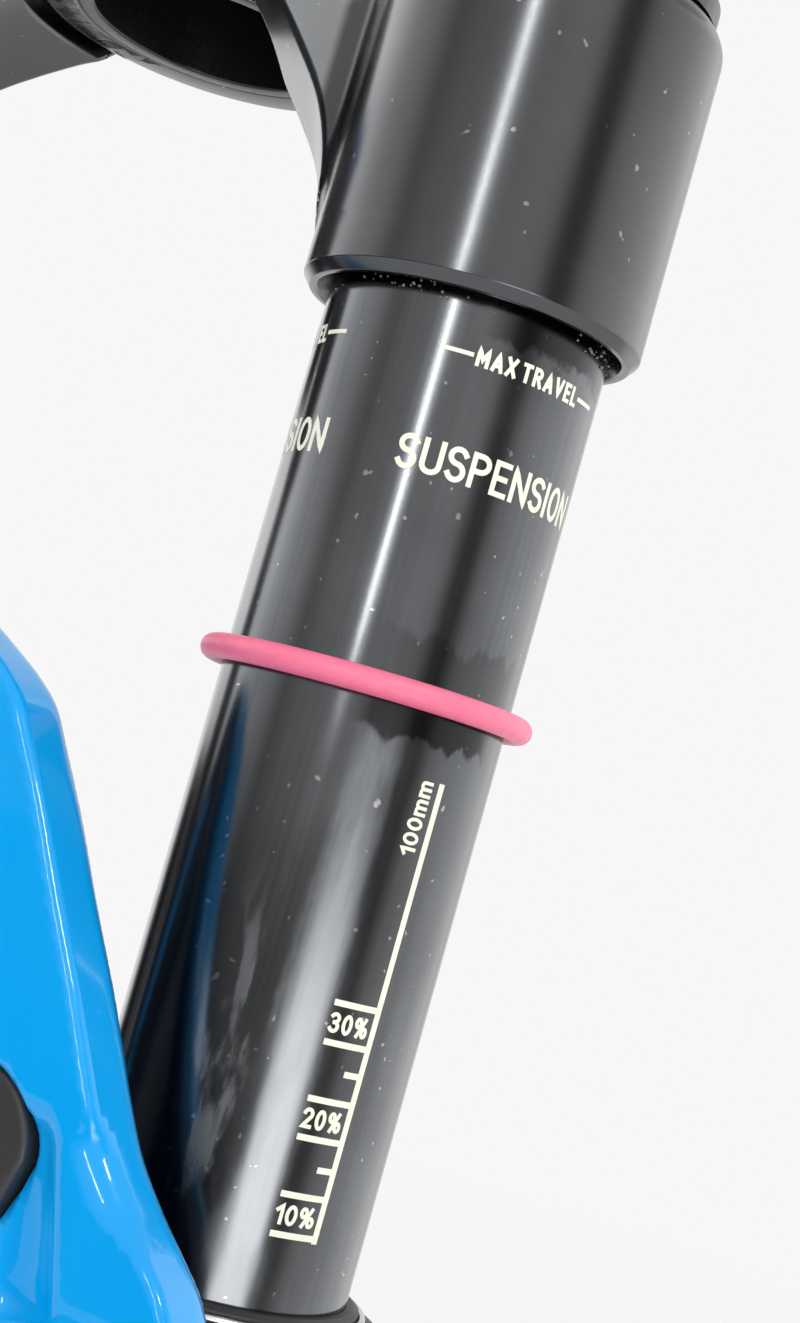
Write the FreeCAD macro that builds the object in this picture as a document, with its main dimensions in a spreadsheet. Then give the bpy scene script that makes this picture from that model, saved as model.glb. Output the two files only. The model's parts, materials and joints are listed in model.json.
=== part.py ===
"""Air-sprung bicycle suspension fork, 32 mm stanchions, 100 mm travel.

Frame: millimetres, +Z up along the steering axis, origin on that axis at the crown race seat.
The wheel lies towards -Z, the front of the bicycle is -Y, the rider's left is +X.
The left leg holds the air spring and the right leg holds the damper.
"""
import FreeCAD
import Part
import Sketcher
import math
import os
import re

doc = FreeCAD.newDocument("SuspensionFork")
sheet = doc.addObject("Spreadsheet::Sheet", "Sizes")

# Driving dimensions, in millimetres.
SIZES = [
    # whole fork
    ("stance", 136.0),             # between the two leg axes
    ("crown_offset", 28.0),        # leg axes in front of the steering axis
    ("axle_offset", 51.0),         # wheel axle in front of the steering axis
    ("crown_to_axle", 506.0),      # race seat to axle, fully extended
    ("lower_height", 327.0),       # axle to the top of the wiper seals
    ("travel", 100.0),
    ("fit_gap", 0.05),             # between parts that are fitted together
    ("rest_gap", 0.3),             # between parts that only meet
    # steerer
    ("steerer_length", 265.0),
    ("steerer_diameter", 28.6),
    ("steerer_bore", 24.4),
    ("steerer_foot_diameter", 39.0),
    ("steerer_foot_bore", 34.0),
    ("race_seat_diameter", 39.8),
    ("race_seat_height", 6.0),
    ("steerer_neck_diameter", 38.1),
    ("steerer_taper_start", 25.0),
    ("steerer_taper_end", 85.0),
    # crown
    ("crown_hub_diameter", 50.0),
    ("crown_hub_height", 30.0),
    ("socket_diameter", 39.6),
    ("socket_lip_diameter", 38.8),
    ("socket_top_drop", 34.0),     # race seat down to the socket's top
    ("socket_lip_drop", 73.1),     # race seat down to the socket's lip
    ("socket_lip_chamfer", 1.2),
    ("cap_seat_radius", 19.0),     # spot face round each top cap
    ("arm_half_width", 16.0),
    ("arm_keel_half_width", 9.0),
    # stanchions
    ("stanchion_diameter", 32.0),
    ("stanchion_wall", 1.7),
    ("stanchion_reach", 125.0),    # below the wiper seals
    ("stanchion_top_gap", 2.0),    # below the socket's top
    ("circlip_groove_radius", 15.0),
    ("circlip_groove_drop", 1.2),
    ("circlip_groove_width", 1.6),
    ("circlip_inner_radius", 12.3),
    # sag ring
    ("sag_ring_section", 2.8),
    ("sag_ring_height", 64.3),     # above the wiper seals
    # lower legs
    ("collar_diameter", 41.0),
    ("collar_length", 36.0),
    ("collar_drop", 3.45),         # casting's top below the wiper's top
    ("leg_diameter", 38.4),
    ("leg_bore", 34.5),
    ("seal_seat_bore", 36.6),
    ("seal_seat_depth", 17.0),
    ("leg_floor_depth", 292.0),
    ("foot_face_depth", 308.0),
    ("leg_end_depth", 313.0),
    ("foot_hole", 8.6),
    ("foot_counterbore", 15.2),
    ("arch_thickness", 10.0),
    ("arch_rear_gap", 0.5),        # behind the arch, to the collar's front
    ("arch_underside", 50.0),      # at the middle, above the wiper's top
    ("arch_middle_depth", 16.0),
    ("arch_foot_height", 48.0),
    ("arch_foot_inner", 15.0),     # inboard of the leg axis
    ("arch_foot_outer", 13.0),     # outboard of the leg axis
    ("arch_foot_taper", 4.0),
    ("arch_pocket_radius", 6.6),
    ("arch_pocket_depth", 6.0),
    ("arch_pocket_x", 55.5),
    ("arch_pocket_height", 11.0),
    # wheel and brake interfaces
    ("hub_width", 110.0),
    ("axle_diameter", 15.0),
    ("dropout_radius", 12.5),
    ("dropout_thickness", 13.0),
    ("hub_face_radius", 11.5),
    ("hub_face_height", 1.0),
    ("post_spacing", 74.2),
    ("post_hole", 5.0),
    ("post_radius", 7.5),
    ("post_x", 58.0),
    ("post_face_y", 2.0),
    ("post_depth", 13.0),
    ("post_low_height", 55.0),     # lower post above the axle
    # seals and bushings
    ("wiper_flange_radius", 20.2),
    ("wiper_seat_depth", 10.2),
    ("garter_radius", 17.98),
    ("garter_section", 0.84),
    ("foam_height", 6.2),
    ("bushing_wall", 1.15),
    ("bushing_length", 20.0),
    ("upper_bushing_depth", 38.0),
    ("lower_bushing_depth", 115.0),
    # shared by the two cartridges
    ("shaft_diameter", 10.0),
    ("shaft_foot_diameter", 14.0),
    ("seal_head_depth", 122.15),
    ("seal_head_height", 18.0),
    ("oring_section", 1.8),
    ("oring_groove", 2.0),
    ("cap_flange_radius", 17.6),
    ("cap_flange_height", 3.4),
    ("cap_hex_height", 3.0),
    ("cap_hex_radius", 13.0),
    ("cap_plug_length", 16.0),
    ("foot_bolt_radius", 4.0),
    ("foot_bolt_head_radius", 6.8),
    ("foot_bolt_head_height", 6.6),
    ("foot_bolt_length", 44.0),
    ("washer_thickness", 1.2),
    # air spring
    ("air_piston_depth", 97.4),
    ("air_piston_height", 13.4),
    ("piston_radius", 14.0),
    ("spacer_radius", 12.5),
    ("spacer_height", 9.6),
    ("valve_radius", 3.9),
    ("valve_bore", 2.4),
    ("valve_length", 27.0),
    ("valve_cap_radius", 8.6),
    ("valve_cap_height", 13.2),
    # damper
    ("cartridge_radius", 12.5),
    ("cartridge_bore", 11.0),
    ("cartridge_top", 47.0),
    ("damper_cap_plug_length", 39.0),
    ("bladder_radius", 10.6),
    ("bladder_bore", 9.4),
    ("compression_height", 32.0),
    ("compression_shaft_radius", 4.0),
    ("spool_radius", 2.0),
    ("rebound_depth", 92.0),
    ("rebound_bore", 2.3),
    ("rod_radius", 1.8),
    ("knob_radius", 14.5),
    ("knob_height", 7.8),
    ("lever_width", 8.0),
    ("lever_length", 13.0),
    ("rebound_knob_radius", 7.2),
    ("rebound_knob_height", 13.5),
    ("rebound_knob_depth", 331.0),
]
for row, (alias, value) in enumerate(SIZES, start=1):
    sheet.set(f"A{row}", alias)
    sheet.set(f"B{row}", str(value))
    sheet.setAlias(f"B{row}", alias)
doc.recompute()

ALIAS = re.compile(r"\b(" + "|".join(alias for alias, _ in SIZES) + r")\b")

# Places and radii that many sub-parts share, as expressions on the sheet.
WIPER = "(lower_height - crown_to_axle)"          # top of the wiper seals
LEGS = {"air": 1, "damper": -1}                   # side of the fork, +X or -X
TUBE_R = "stanchion_diameter / 2"
TUBE_BORE = "(stanchion_diameter / 2 - stanchion_wall)"
PLUG_R = "(stanchion_diameter / 2 - stanchion_wall - fit_gap)"
SHAFT_R = "shaft_diameter / 2"
SHAFT_BORE = "(shaft_diameter / 2 + fit_gap)"
ORING_R = "(stanchion_diameter / 2 - stanchion_wall - fit_gap - oring_section / 2)"
GROOVE_R = "(stanchion_diameter / 2 - stanchion_wall - fit_gap * 2 - oring_section)"

nodes = []


def size(alias):
    """A driving dimension as a number, for shapes set by this macro's own code."""
    return float(sheet.get(alias))


def sized(text):
    """An expression with each alias pointed at the sheet."""
    return ALIAS.sub(r"Sizes.\1", str(text))


def bind(item, **texts):
    """Bind an object's properties to expressions; a double underscore stands for a dot."""
    for name, text in texts.items():
        item.setExpression(name.replace("__", "."), sized(text))
    return item


def place(item, leg, base):
    """Stand an object on a leg's axis, or on the steering axis, with its foot at height base."""
    if leg:
        bind(item, Placement__Base__x=f"{LEGS[leg]} * stance / 2", Placement__Base__y="-crown_offset")
    return bind(item, Placement__Base__z=base)


def plane_of(body, role):
    """One of a body's own origin planes."""
    return next(item for item in body.Origin.OriginFeatures if item.Role == role)


def polygon(body, role, points):
    """A closed sketch of straight lines whose corners are held by expressions."""
    sketch = body.newObject("Sketcher::SketchObject", "Profile")
    sketch.AttachmentSupport = [(plane_of(body, role), "")]
    sketch.MapMode = "FlatFace"
    count = len(points)
    corners = [
        FreeCAD.Vector(20 + 10 * math.cos(2 * math.pi * i / count), 20 + 10 * math.sin(2 * math.pi * i / count), 0)
        for i in range(count)
    ]
    for i in range(count):
        sketch.addGeometry(Part.LineSegment(corners[i], corners[(i + 1) % count]), False)
    for i in range(count):
        sketch.addConstraint(Sketcher.Constraint("Coincident", i, 2, (i + 1) % count, 1))
    for i, (across, up) in enumerate(points):
        for kind, text in (("DistanceX", across), ("DistanceY", up)):
            index = sketch.addConstraint(Sketcher.Constraint(kind, -1, 1, i, 1, 0.0 if text == 0 else 10.0))
            if text != 0:
                sketch.setExpression(f"Constraints[{index}]", sized(text))
    return sketch


def turned(label, leg, base, profile):
    """A body turned about its own vertical axis: profile holds (radius, height above base)."""
    body = doc.addObject("PartDesign::Body", label)
    body.Label = label
    turning = body.newObject("PartDesign::Revolution", "Turning")
    turning.Profile = polygon(body, "XZ_Plane", profile)
    turning.ReferenceAxis = (turning.Profile[0], ["V_Axis"])
    turning.Angle = 360
    body.Tip = turning
    return place(body, leg, base)


def ring(label, leg, base, inner, outer, height):
    """A plain sleeve or washer."""
    return turned(label, leg, base, [(inner, 0), (outer, 0), (outer, height), (inner, height)])


def oring(label, leg, centre, radius, section):
    """A round-section ring whose middle is at height centre."""
    seal = doc.addObject("Part::Torus", label)
    bind(seal, Radius1=radius, Radius2=f"({section}) / 2")
    return place(seal, leg, centre)


def cylinder(label, radius, height):
    item = doc.addObject("Part::Cylinder", label)
    return bind(item, Radius=radius, Height=height)


def prism(label, leg, base, radius, height):
    """A hexagonal bar, for spanner flats and key sockets."""
    item = doc.addObject("Part::Prism", label)
    item.Polygon = 6
    return place(bind(item, Circumradius=radius, Height=height), leg, base)


def join(label, pieces):
    item = doc.addObject("Part::MultiFuse", label)
    item.Shapes = pieces
    item.Refine = True
    return item


def cut(label, base, tools):
    """base with one tool, or several, taken away."""
    tool = tools[0]
    if len(tools) > 1:
        tool = doc.addObject("Part::Compound", label + "_tools")
        tool.Links = tools
    item = doc.addObject("Part::Cut", label)
    item.Base = base
    item.Tool = tool
    return item


def group(label, pieces):
    """Several separate solids in one node."""
    item = doc.addObject("Part::Compound", label)
    item.Links = pieces
    return item


def shaped(label, shape):
    """A shape made by this macro's own code."""
    item = doc.addObject("Part::Feature", label)
    item.Shape = shape
    return item


def node(item, label):
    """Name a finished sub-part, which is written to parts/label.step."""
    item.Label = label
    nodes.append(item)
    return item


def around(count, radius):
    """Evenly spaced points on a circle, as (x, y)."""
    turn = 2 * math.pi / count
    return [(radius * math.cos(i * turn), radius * math.sin(i * turn)) for i in range(count)]


def drills(label, leg, base, count, circle, radius, height):
    """Upright cylinders on a circle about a leg's axis, to cut ports or grip flutes with."""
    tools = []
    side = LEGS[leg]
    for x, y in around(count, 1.0):
        tool = cylinder(label, radius, height)
        bind(tool, Placement__Base__x=f"{side} * stance / 2 + ({circle}) * {x:.6f}",
             Placement__Base__y=f"-crown_offset + ({circle}) * {y:.6f}", Placement__Base__z=base)
        tools.append(tool)
    return tools


def rounded_wire(points, to_vector):
    """A closed outline through (across, up, corner radius), with a tangent arc at each corner."""
    flat = [FreeCAD.Vector(across, up, 0) for across, up, _ in points]
    count = len(points)
    edges = []
    last = None
    first = None
    for i in range(count):
        corner = flat[i]
        before = (flat[i - 1] - corner).normalize()
        after = (flat[(i + 1) % count] - corner).normalize()
        radius = points[i][2]
        half = before.getAngle(after) / 2
        back = radius / math.tan(half)
        start = corner + before * back
        end = corner + after * back
        if last is not None and (start - last).Length > 1e-6:
            edges.append(Part.LineSegment(to_vector(last), to_vector(start)).toShape())
        if radius > 0:
            bisector = (before + after).normalize()
            middle = corner + bisector * (radius / math.sin(half) - radius)
            edges.append(Part.Arc(to_vector(start), to_vector(middle), to_vector(end)).toShape())
        if first is None:
            first = start
        last = end
    edges.append(Part.LineSegment(to_vector(last), to_vector(first)).toShape())
    return Part.Wire(edges)


# ---------------------------------------------------------------- steerer and crown

def steerer_tube():
    foot = "crown_hub_height"
    taper_start = f"{foot} + steerer_taper_start"
    taper_end = f"{foot} + steerer_taper_end"
    top = f"{foot} + steerer_length"
    seat_top = f"{foot} + race_seat_height"
    node(turned("steerer_tube", None, "-crown_hub_height", [
        ("steerer_foot_bore / 2", 0),
        ("steerer_foot_diameter / 2", 0),
        ("steerer_foot_diameter / 2", foot),
        ("race_seat_diameter / 2", foot),
        ("race_seat_diameter / 2", seat_top),
        ("steerer_neck_diameter / 2", seat_top),
        ("steerer_neck_diameter / 2", taper_start),
        ("steerer_diameter / 2", taper_end),
        ("steerer_diameter / 2", top),
        ("steerer_bore / 2", top),
        ("steerer_bore / 2", taper_end),
        ("steerer_foot_bore / 2", taper_start),
    ]), "steerer_tube")


def crown_arm(side):
    """One arm: side outlines in the plane through the steering axis and the leg's axis.

    The keel outline is the arm's middle. The flank outline is narrower, so that the
    lower edges are broad bevels.
    """
    reach = math.hypot(size("stance") / 2, size("crown_offset"))
    hub_r = size("crown_hub_diameter") / 2
    socket_r = size("socket_diameter") / 2
    under = -size("crown_hub_height")
    lip = -size("socket_lip_drop")
    top = -size("socket_top_drop")
    inner = reach - socket_r
    keel = [(0, under), (hub_r - 4, under), (hub_r + 3, under - 6), (hub_r + 21, under - 23),
            (inner - 2, under - 29), (inner, under - 36), (inner + 3, lip + 5), (reach, lip + 5),
            (reach, top - 2), (inner + 8, top), (hub_r + 19, -22), (hub_r - 1, -8), (0, -6)]
    flank = [(4, under + 6), (hub_r + 6, under + 2), (hub_r + 16, under - 5), (hub_r + 29, under - 18),
             (inner + 6, under - 27), (inner + 8, under - 34), (inner + 9, lip + 8), (reach, lip + 8),
             (reach, top - 6), (inner + 10, top - 3), (hub_r + 20, -27), (hub_r + 1, -14), (4, -12)]
    along = FreeCAD.Vector(side * size("stance") / 2 / reach, -size("crown_offset") / reach, 0)
    across = FreeCAD.Vector(0, 0, 1).cross(along)
    wires = []
    for outline, offset in ((flank, -size("arm_half_width")), (keel, -size("arm_keel_half_width")),
                            (keel, size("arm_keel_half_width")), (flank, size("arm_half_width"))):
        corners = [along * out + across * offset + FreeCAD.Vector(0, 0, up) for out, up in outline]
        wires.append(Part.makePolygon(corners + corners[:1]))
    return Part.makeLoft(wires, True, True)


def crown():
    hub = turned("crown_hub", None, "-crown_hub_height", [
        (0, 0),
        ("crown_hub_diameter / 2 - 0.8", 0),
        ("crown_hub_diameter / 2", 0.8),
        ("crown_hub_diameter / 2", "crown_hub_height - 5"),
        ("crown_hub_diameter / 2 - 2", "crown_hub_height"),
        (0, "crown_hub_height"),
    ])
    solids = [hub]
    tools = [place(cylinder("steerer_seat", "steerer_foot_diameter / 2 + fit_gap / 2", "crown_hub_height * 2"),
                   None, "-crown_hub_height * 1.5")]
    for leg, side in LEGS.items():
        height = "(socket_lip_drop - socket_top_drop)"
        solids.append(turned(f"{leg}_socket", leg, "-socket_lip_drop", [
            (0, 0),
            ("socket_lip_diameter / 2 - socket_lip_chamfer * 0.8", 0),
            ("socket_lip_diameter / 2", "socket_lip_chamfer"),
            ("socket_diameter / 2", f"{height} * 0.6"),
            ("socket_diameter / 2", f"{height} - 5"),
            ("socket_diameter / 2 - 1.5", f"{height} - 1.5"),
            ("socket_diameter / 2 - 4", height),
            (0, height),
        ]))
        solids.append(shaped(f"{leg}_arm", crown_arm(side)))
        tools.append(turned(f"{leg}_socket_bore", leg, "-socket_lip_drop - 1", [
            (0, 0),
            (f"{TUBE_R} + socket_lip_chamfer + 1", 0),
            (f"{TUBE_R} + fit_gap / 2", "socket_lip_chamfer + 2"),
            (f"{TUBE_R} + fit_gap / 2", f"{height} + 1"),
            ("cap_seat_radius", f"{height} + 1"),
            ("cap_seat_radius", "socket_lip_drop"),
            (0, "socket_lip_drop"),
        ]))
    node(cut("crown", join("crown_blank", solids), tools), "crown")


# ---------------------------------------------------------------- stanchions and what they carry

def stanchions():
    length = f"(-socket_top_drop - stanchion_top_gap - {WIPER} + stanchion_reach)"
    groove = "circlip_groove_drop"
    groove_top = "circlip_groove_drop + circlip_groove_width"
    for leg in LEGS:
        label = f"{leg}_stanchion"
        node(turned(label, leg, f"{WIPER} - stanchion_reach", [
            (TUBE_BORE, 0),
            (TUBE_R, 0),
            (TUBE_R, length),
            (TUBE_BORE, length),
            (TUBE_BORE, groove_top),
            ("circlip_groove_radius", groove_top),
            ("circlip_groove_radius", groove),
            (TUBE_BORE, groove),
        ]), label)


def sag_ring():
    node(oring("sag_ring", "air", f"{WIPER} + sag_ring_height",
               f"{TUBE_R} + fit_gap + sag_ring_section / 2", "sag_ring_section"), "sag_ring")


def seal_heads():
    """The plug at the bottom of each stanchion, its seal and the circlip that holds it."""
    low = "seal_head_height / 2 - oring_groove / 2"
    high = "seal_head_height / 2 + oring_groove / 2"
    base = f"{WIPER} - seal_head_depth"
    clip_base = f"{WIPER} - stanchion_reach + circlip_groove_drop + 0.1"
    for leg in LEGS:
        node(turned(f"{leg}_seal_head", leg, base, [
            (SHAFT_BORE, 0),
            (PLUG_R, 0),
            (PLUG_R, low),
            (GROOVE_R, low),
            (GROOVE_R, high),
            (PLUG_R, high),
            (PLUG_R, "seal_head_height - 4"),
            (f"{PLUG_R} - 3.5", "seal_head_height"),
            (SHAFT_BORE, "seal_head_height"),
        ]), f"{leg}_seal_head")
        node(oring(f"{leg}_seal_head_oring", leg, f"{base} + seal_head_height / 2", ORING_R, "oring_section"),
             f"{leg}_seal_head_oring")
        clip = ring(f"{leg}_clip_blank", leg, clip_base, "circlip_inner_radius",
                    "circlip_groove_radius - fit_gap", "circlip_groove_width - 0.2")
        gap = doc.addObject("Part::Box", "clip_gap")
        bind(gap, Length=8, Width=12, Height=6, Placement__Base__x=f"{LEGS[leg]} * stance / 2 - 4",
             Placement__Base__y="-crown_offset + 8", Placement__Base__z=f"{clip_base} - 2")
        node(cut(f"{leg}_circlip", clip, [gap]), f"{leg}_circlip")


# ---------------------------------------------------------------- air spring, in the left leg

def air_top_cap():
    plug = "cap_plug_length"
    low = "4"
    high = "4 + oring_groove"
    base = "-socket_top_drop - cap_plug_length"
    blank = turned("air_cap_blank", "air", base, [
        ("valve_radius + fit_gap", 0),
        (PLUG_R, 0),
        (PLUG_R, low),
        (GROOVE_R, low),
        (GROOVE_R, high),
        (PLUG_R, high),
        (PLUG_R, f"{plug} - stanchion_top_gap + 0.1"),
        (f"{TUBE_R} - fit_gap", f"{plug} - stanchion_top_gap + 0.1"),
        (f"{TUBE_R} - fit_gap", f"{plug} + fit_gap"),
        ("cap_flange_radius", f"{plug} + fit_gap"),
        ("cap_flange_radius", f"{plug} + cap_flange_height - 0.8"),
        ("cap_flange_radius - 0.8", f"{plug} + cap_flange_height"),
        ("valve_radius + fit_gap", f"{plug} + cap_flange_height"),
    ])
    flats = prism("air_cap_flats", "air", "-socket_top_drop + cap_flange_height - 0.5",
                  "cap_hex_radius", "cap_hex_height + 0.5")
    valve_hole = place(cylinder("valve_hole", "valve_radius + fit_gap", 40), "air", f"{base} - 5")
    node(cut("air_top_cap", join("air_cap_body", [blank, flats]), [valve_hole]), "air_top_cap")
    node(oring("air_top_cap_oring", "air", f"{base} + 4 + oring_groove / 2", ORING_R, "oring_section"),
         "air_top_cap_oring")


def air_valve():
    """The fill valve: stem, core, sprung pin and the dust cap over it."""
    hex_top = "(-socket_top_drop + cap_flange_height + cap_hex_height)"
    base = f"{hex_top} - 15.4"
    node(turned("air_valve_stem", "air", base, [
        ("valve_bore", 0),
        ("valve_radius", 0),
        ("valve_radius", 15.5),
        ("valve_radius + 2.1", 15.5),
        ("valve_radius + 2.1", 17.5),
        ("valve_radius", 17.5),
        ("valve_radius", "valve_length - 0.4"),
        ("valve_radius - 0.4", "valve_length"),
        ("valve_bore", "valve_length"),
    ]), "air_valve_stem")
    node(ring("air_valve_core", "air", f"{base} + valve_length - 11", 0.95, "valve_bore - fit_gap", 7.5),
         "air_valve_core")
    node(turned("air_valve_pin", "air", f"{base} + valve_length - 14.5", [
        (0, 0),
        (1.6, 0),
        (1.6, 1.6),
        (0.85, 1.6),
        (0.85, 12.8),
        (1.3, 12.8),
        (1.3, 14.2),
        (0, 14.2),
    ]), "air_valve_pin")
    cap_base = f"{hex_top} + rest_gap"
    blank = turned("valve_cap_blank", "air", cap_base, [
        ("valve_cap_radius - 2.1", 0),
        ("valve_cap_radius", 0),
        ("valve_cap_radius", "valve_cap_height - 1.4"),
        ("valve_cap_radius - 1.4", "valve_cap_height"),
        (0, "valve_cap_height"),
        (0, "valve_cap_height - 1.2"),
        ("valve_cap_radius - 2.1", "valve_cap_height - 1.2"),
    ])
    flutes = drills("cap_flute", "air", f"{cap_base} + 2.5", 18, "valve_cap_radius + 0.35", 0.8,
                    "valve_cap_height")
    node(cut("air_valve_cap", blank, flutes), "air_valve_cap")


def air_spring():
    node(group("volume_spacers", [
        ring("spacer", "air", f"-socket_top_drop - cap_plug_length - {count} * (spacer_height + 0.4)",
             5, "spacer_radius", "spacer_height")
        for count in (1, 2)
    ]), "volume_spacers")
    bumper_base = f"{WIPER} - seal_head_depth + seal_head_height + 0.1"
    node(ring("top_out_bumper", "air", bumper_base, f"{SHAFT_R} + rest_gap", 10.5, 6.2), "top_out_bumper")
    floor = f"{WIPER} - leg_floor_depth + 0.1"
    bumper_depth = "244"
    shaft_top = "leg_floor_depth - air_piston_depth + 11.4"
    node(turned("air_shaft", "air", floor, [
        ("foot_bolt_radius + fit_gap", 0),
        ("shaft_foot_diameter / 2", 0),
        ("shaft_foot_diameter / 2", f"leg_floor_depth - {bumper_depth}"),
        (SHAFT_R, f"leg_floor_depth - {bumper_depth}"),
        (SHAFT_R, shaft_top),
        (0, shaft_top),
        (0, 24),
        ("foot_bolt_radius + fit_gap", 24),
    ]), "air_shaft")
    node(turned("bottom_out_bumper", "air", f"{WIPER} - {bumper_depth} + 0.2", [
        (f"{SHAFT_R} + 0.1", 0),
        (11, 0),
        (11, 9),
        (8, 16),
        (f"{SHAFT_R} + 0.1", 16),
    ]), "bottom_out_bumper")
    base = f"{WIPER} - air_piston_depth"
    node(turned("air_piston", "air", base, [
        (SHAFT_BORE, 0),
        ("piston_radius", 0),
        ("piston_radius", 2),
        ("piston_radius - 1.1", 2),
        ("piston_radius - 1.1", 6),
        ("piston_radius", 6),
        ("piston_radius", 8),
        (GROOVE_R, 8),
        (GROOVE_R, "8 + oring_groove"),
        ("piston_radius", "8 + oring_groove"),
        ("piston_radius", "air_piston_height"),
        (0, "air_piston_height"),
        (0, "air_piston_height - 1.7"),
        (SHAFT_BORE, "air_piston_height - 1.7"),
    ]), "air_piston")
    node(ring("air_piston_glide_ring", "air", f"{base} + 2.05", "piston_radius - 1.05", PLUG_R, 3.9),
         "air_piston_glide_ring")
    node(oring("air_piston_seal", "air", f"{base} + 8 + oring_groove / 2", ORING_R, "oring_section"),
         "air_piston_seal")


# ---------------------------------------------------------------- damper, in the right leg

def damper_top_cap():
    plug = "damper_cap_plug_length"
    base = "-socket_top_drop - damper_cap_plug_length"
    low = f"{plug} - 12"
    high = f"{plug} - 12 + oring_groove"
    blank = turned("damper_cap_blank", "damper", base, [
        ("spool_radius + fit_gap", 0),
        ("bladder_bore - fit_gap", 0),
        ("bladder_bore - fit_gap", 6.2),
        (PLUG_R, 6.2),
        (PLUG_R, low),
        (GROOVE_R, low),
        (GROOVE_R, high),
        (PLUG_R, high),
        (PLUG_R, f"{plug} - stanchion_top_gap + 0.1"),
        (f"{TUBE_R} - fit_gap", f"{plug} - stanchion_top_gap + 0.1"),
        (f"{TUBE_R} - fit_gap", f"{plug} + fit_gap"),
        ("cap_flange_radius", f"{plug} + fit_gap"),
        ("cap_flange_radius", f"{plug} + cap_flange_height - 0.8"),
        ("cap_flange_radius - 0.8", f"{plug} + cap_flange_height"),
        ("spool_radius + fit_gap", f"{plug} + cap_flange_height"),
    ])
    flats = prism("damper_cap_flats", "damper", "-socket_top_drop + cap_flange_height - 0.5",
                  "cap_hex_radius", "cap_hex_height + 0.5")
    spool_hole = place(cylinder("spool_hole", "spool_radius + fit_gap", 80), "damper", f"{base} - 5")
    node(cut("damper_top_cap", join("damper_cap_body", [blank, flats]), [spool_hole]), "damper_top_cap")
    node(oring("damper_top_cap_oring", "damper", f"{base} + {low} + oring_groove / 2", ORING_R, "oring_section"),
         "damper_top_cap_oring")


def shim_stack(label, base, inner):
    """Spring-steel discs, each smaller than the one before."""
    return group(label, [
        ring("shim", "damper", f"{base} + {index} * 0.5", inner, 9 - index, 0.4)
        for index in range(4)
    ])


def compression_side():
    base = f"{WIPER} + compression_height"
    bore = "compression_shaft_radius + fit_gap"
    blank = turned("compression_blank", "damper", base, [
        (bore, 0),
        ("cartridge_bore - fit_gap", 0),
        ("cartridge_bore - fit_gap", 8),
        ("cartridge_bore - 2", 11),
        (bore, 11),
    ])
    ports = drills("compression_port", "damper", f"{base} - 1", 6, "6.6", 1.3, 14)
    node(cut("compression_piston", blank, ports), "compression_piston")
    node(shim_stack("compression_shims", f"{base} - 2.2", bore), "compression_shims")
    cap_foot = "(-socket_top_drop - damper_cap_plug_length)"
    node(ring("compression_shaft", "damper", f"{base} - 3.5", "spool_radius + fit_gap",
              "compression_shaft_radius", f"{cap_foot} - ({base} - 3.5) - 0.1"), "compression_shaft")
    node(ring("damper_cartridge_tube", "damper", f"{WIPER} - seal_head_depth + seal_head_height + 0.1",
              "cartridge_bore", "cartridge_radius", "cartridge_top + seal_head_depth - seal_head_height - 0.1"),
         "damper_cartridge_tube")
    length = f"({cap_foot} + 6 - ({WIPER} + cartridge_top + 0.2))"
    node(turned("damper_bladder", "damper", f"{WIPER} + cartridge_top + 0.2", [
        ("bladder_bore", 0),
        ("bladder_radius", 0),
        ("bladder_radius", 6),
        ("bladder_radius - 0.8", 10),
        ("bladder_radius - 0.8", f"{length} - 10"),
        ("bladder_radius", f"{length} - 6"),
        ("bladder_radius", length),
        ("bladder_bore", length),
        ("bladder_bore", f"{length} - 6"),
        ("bladder_bore - 0.8", f"{length} - 10"),
        ("bladder_bore - 0.8", 10),
        ("bladder_bore", 6),
    ]), "damper_bladder")


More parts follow.
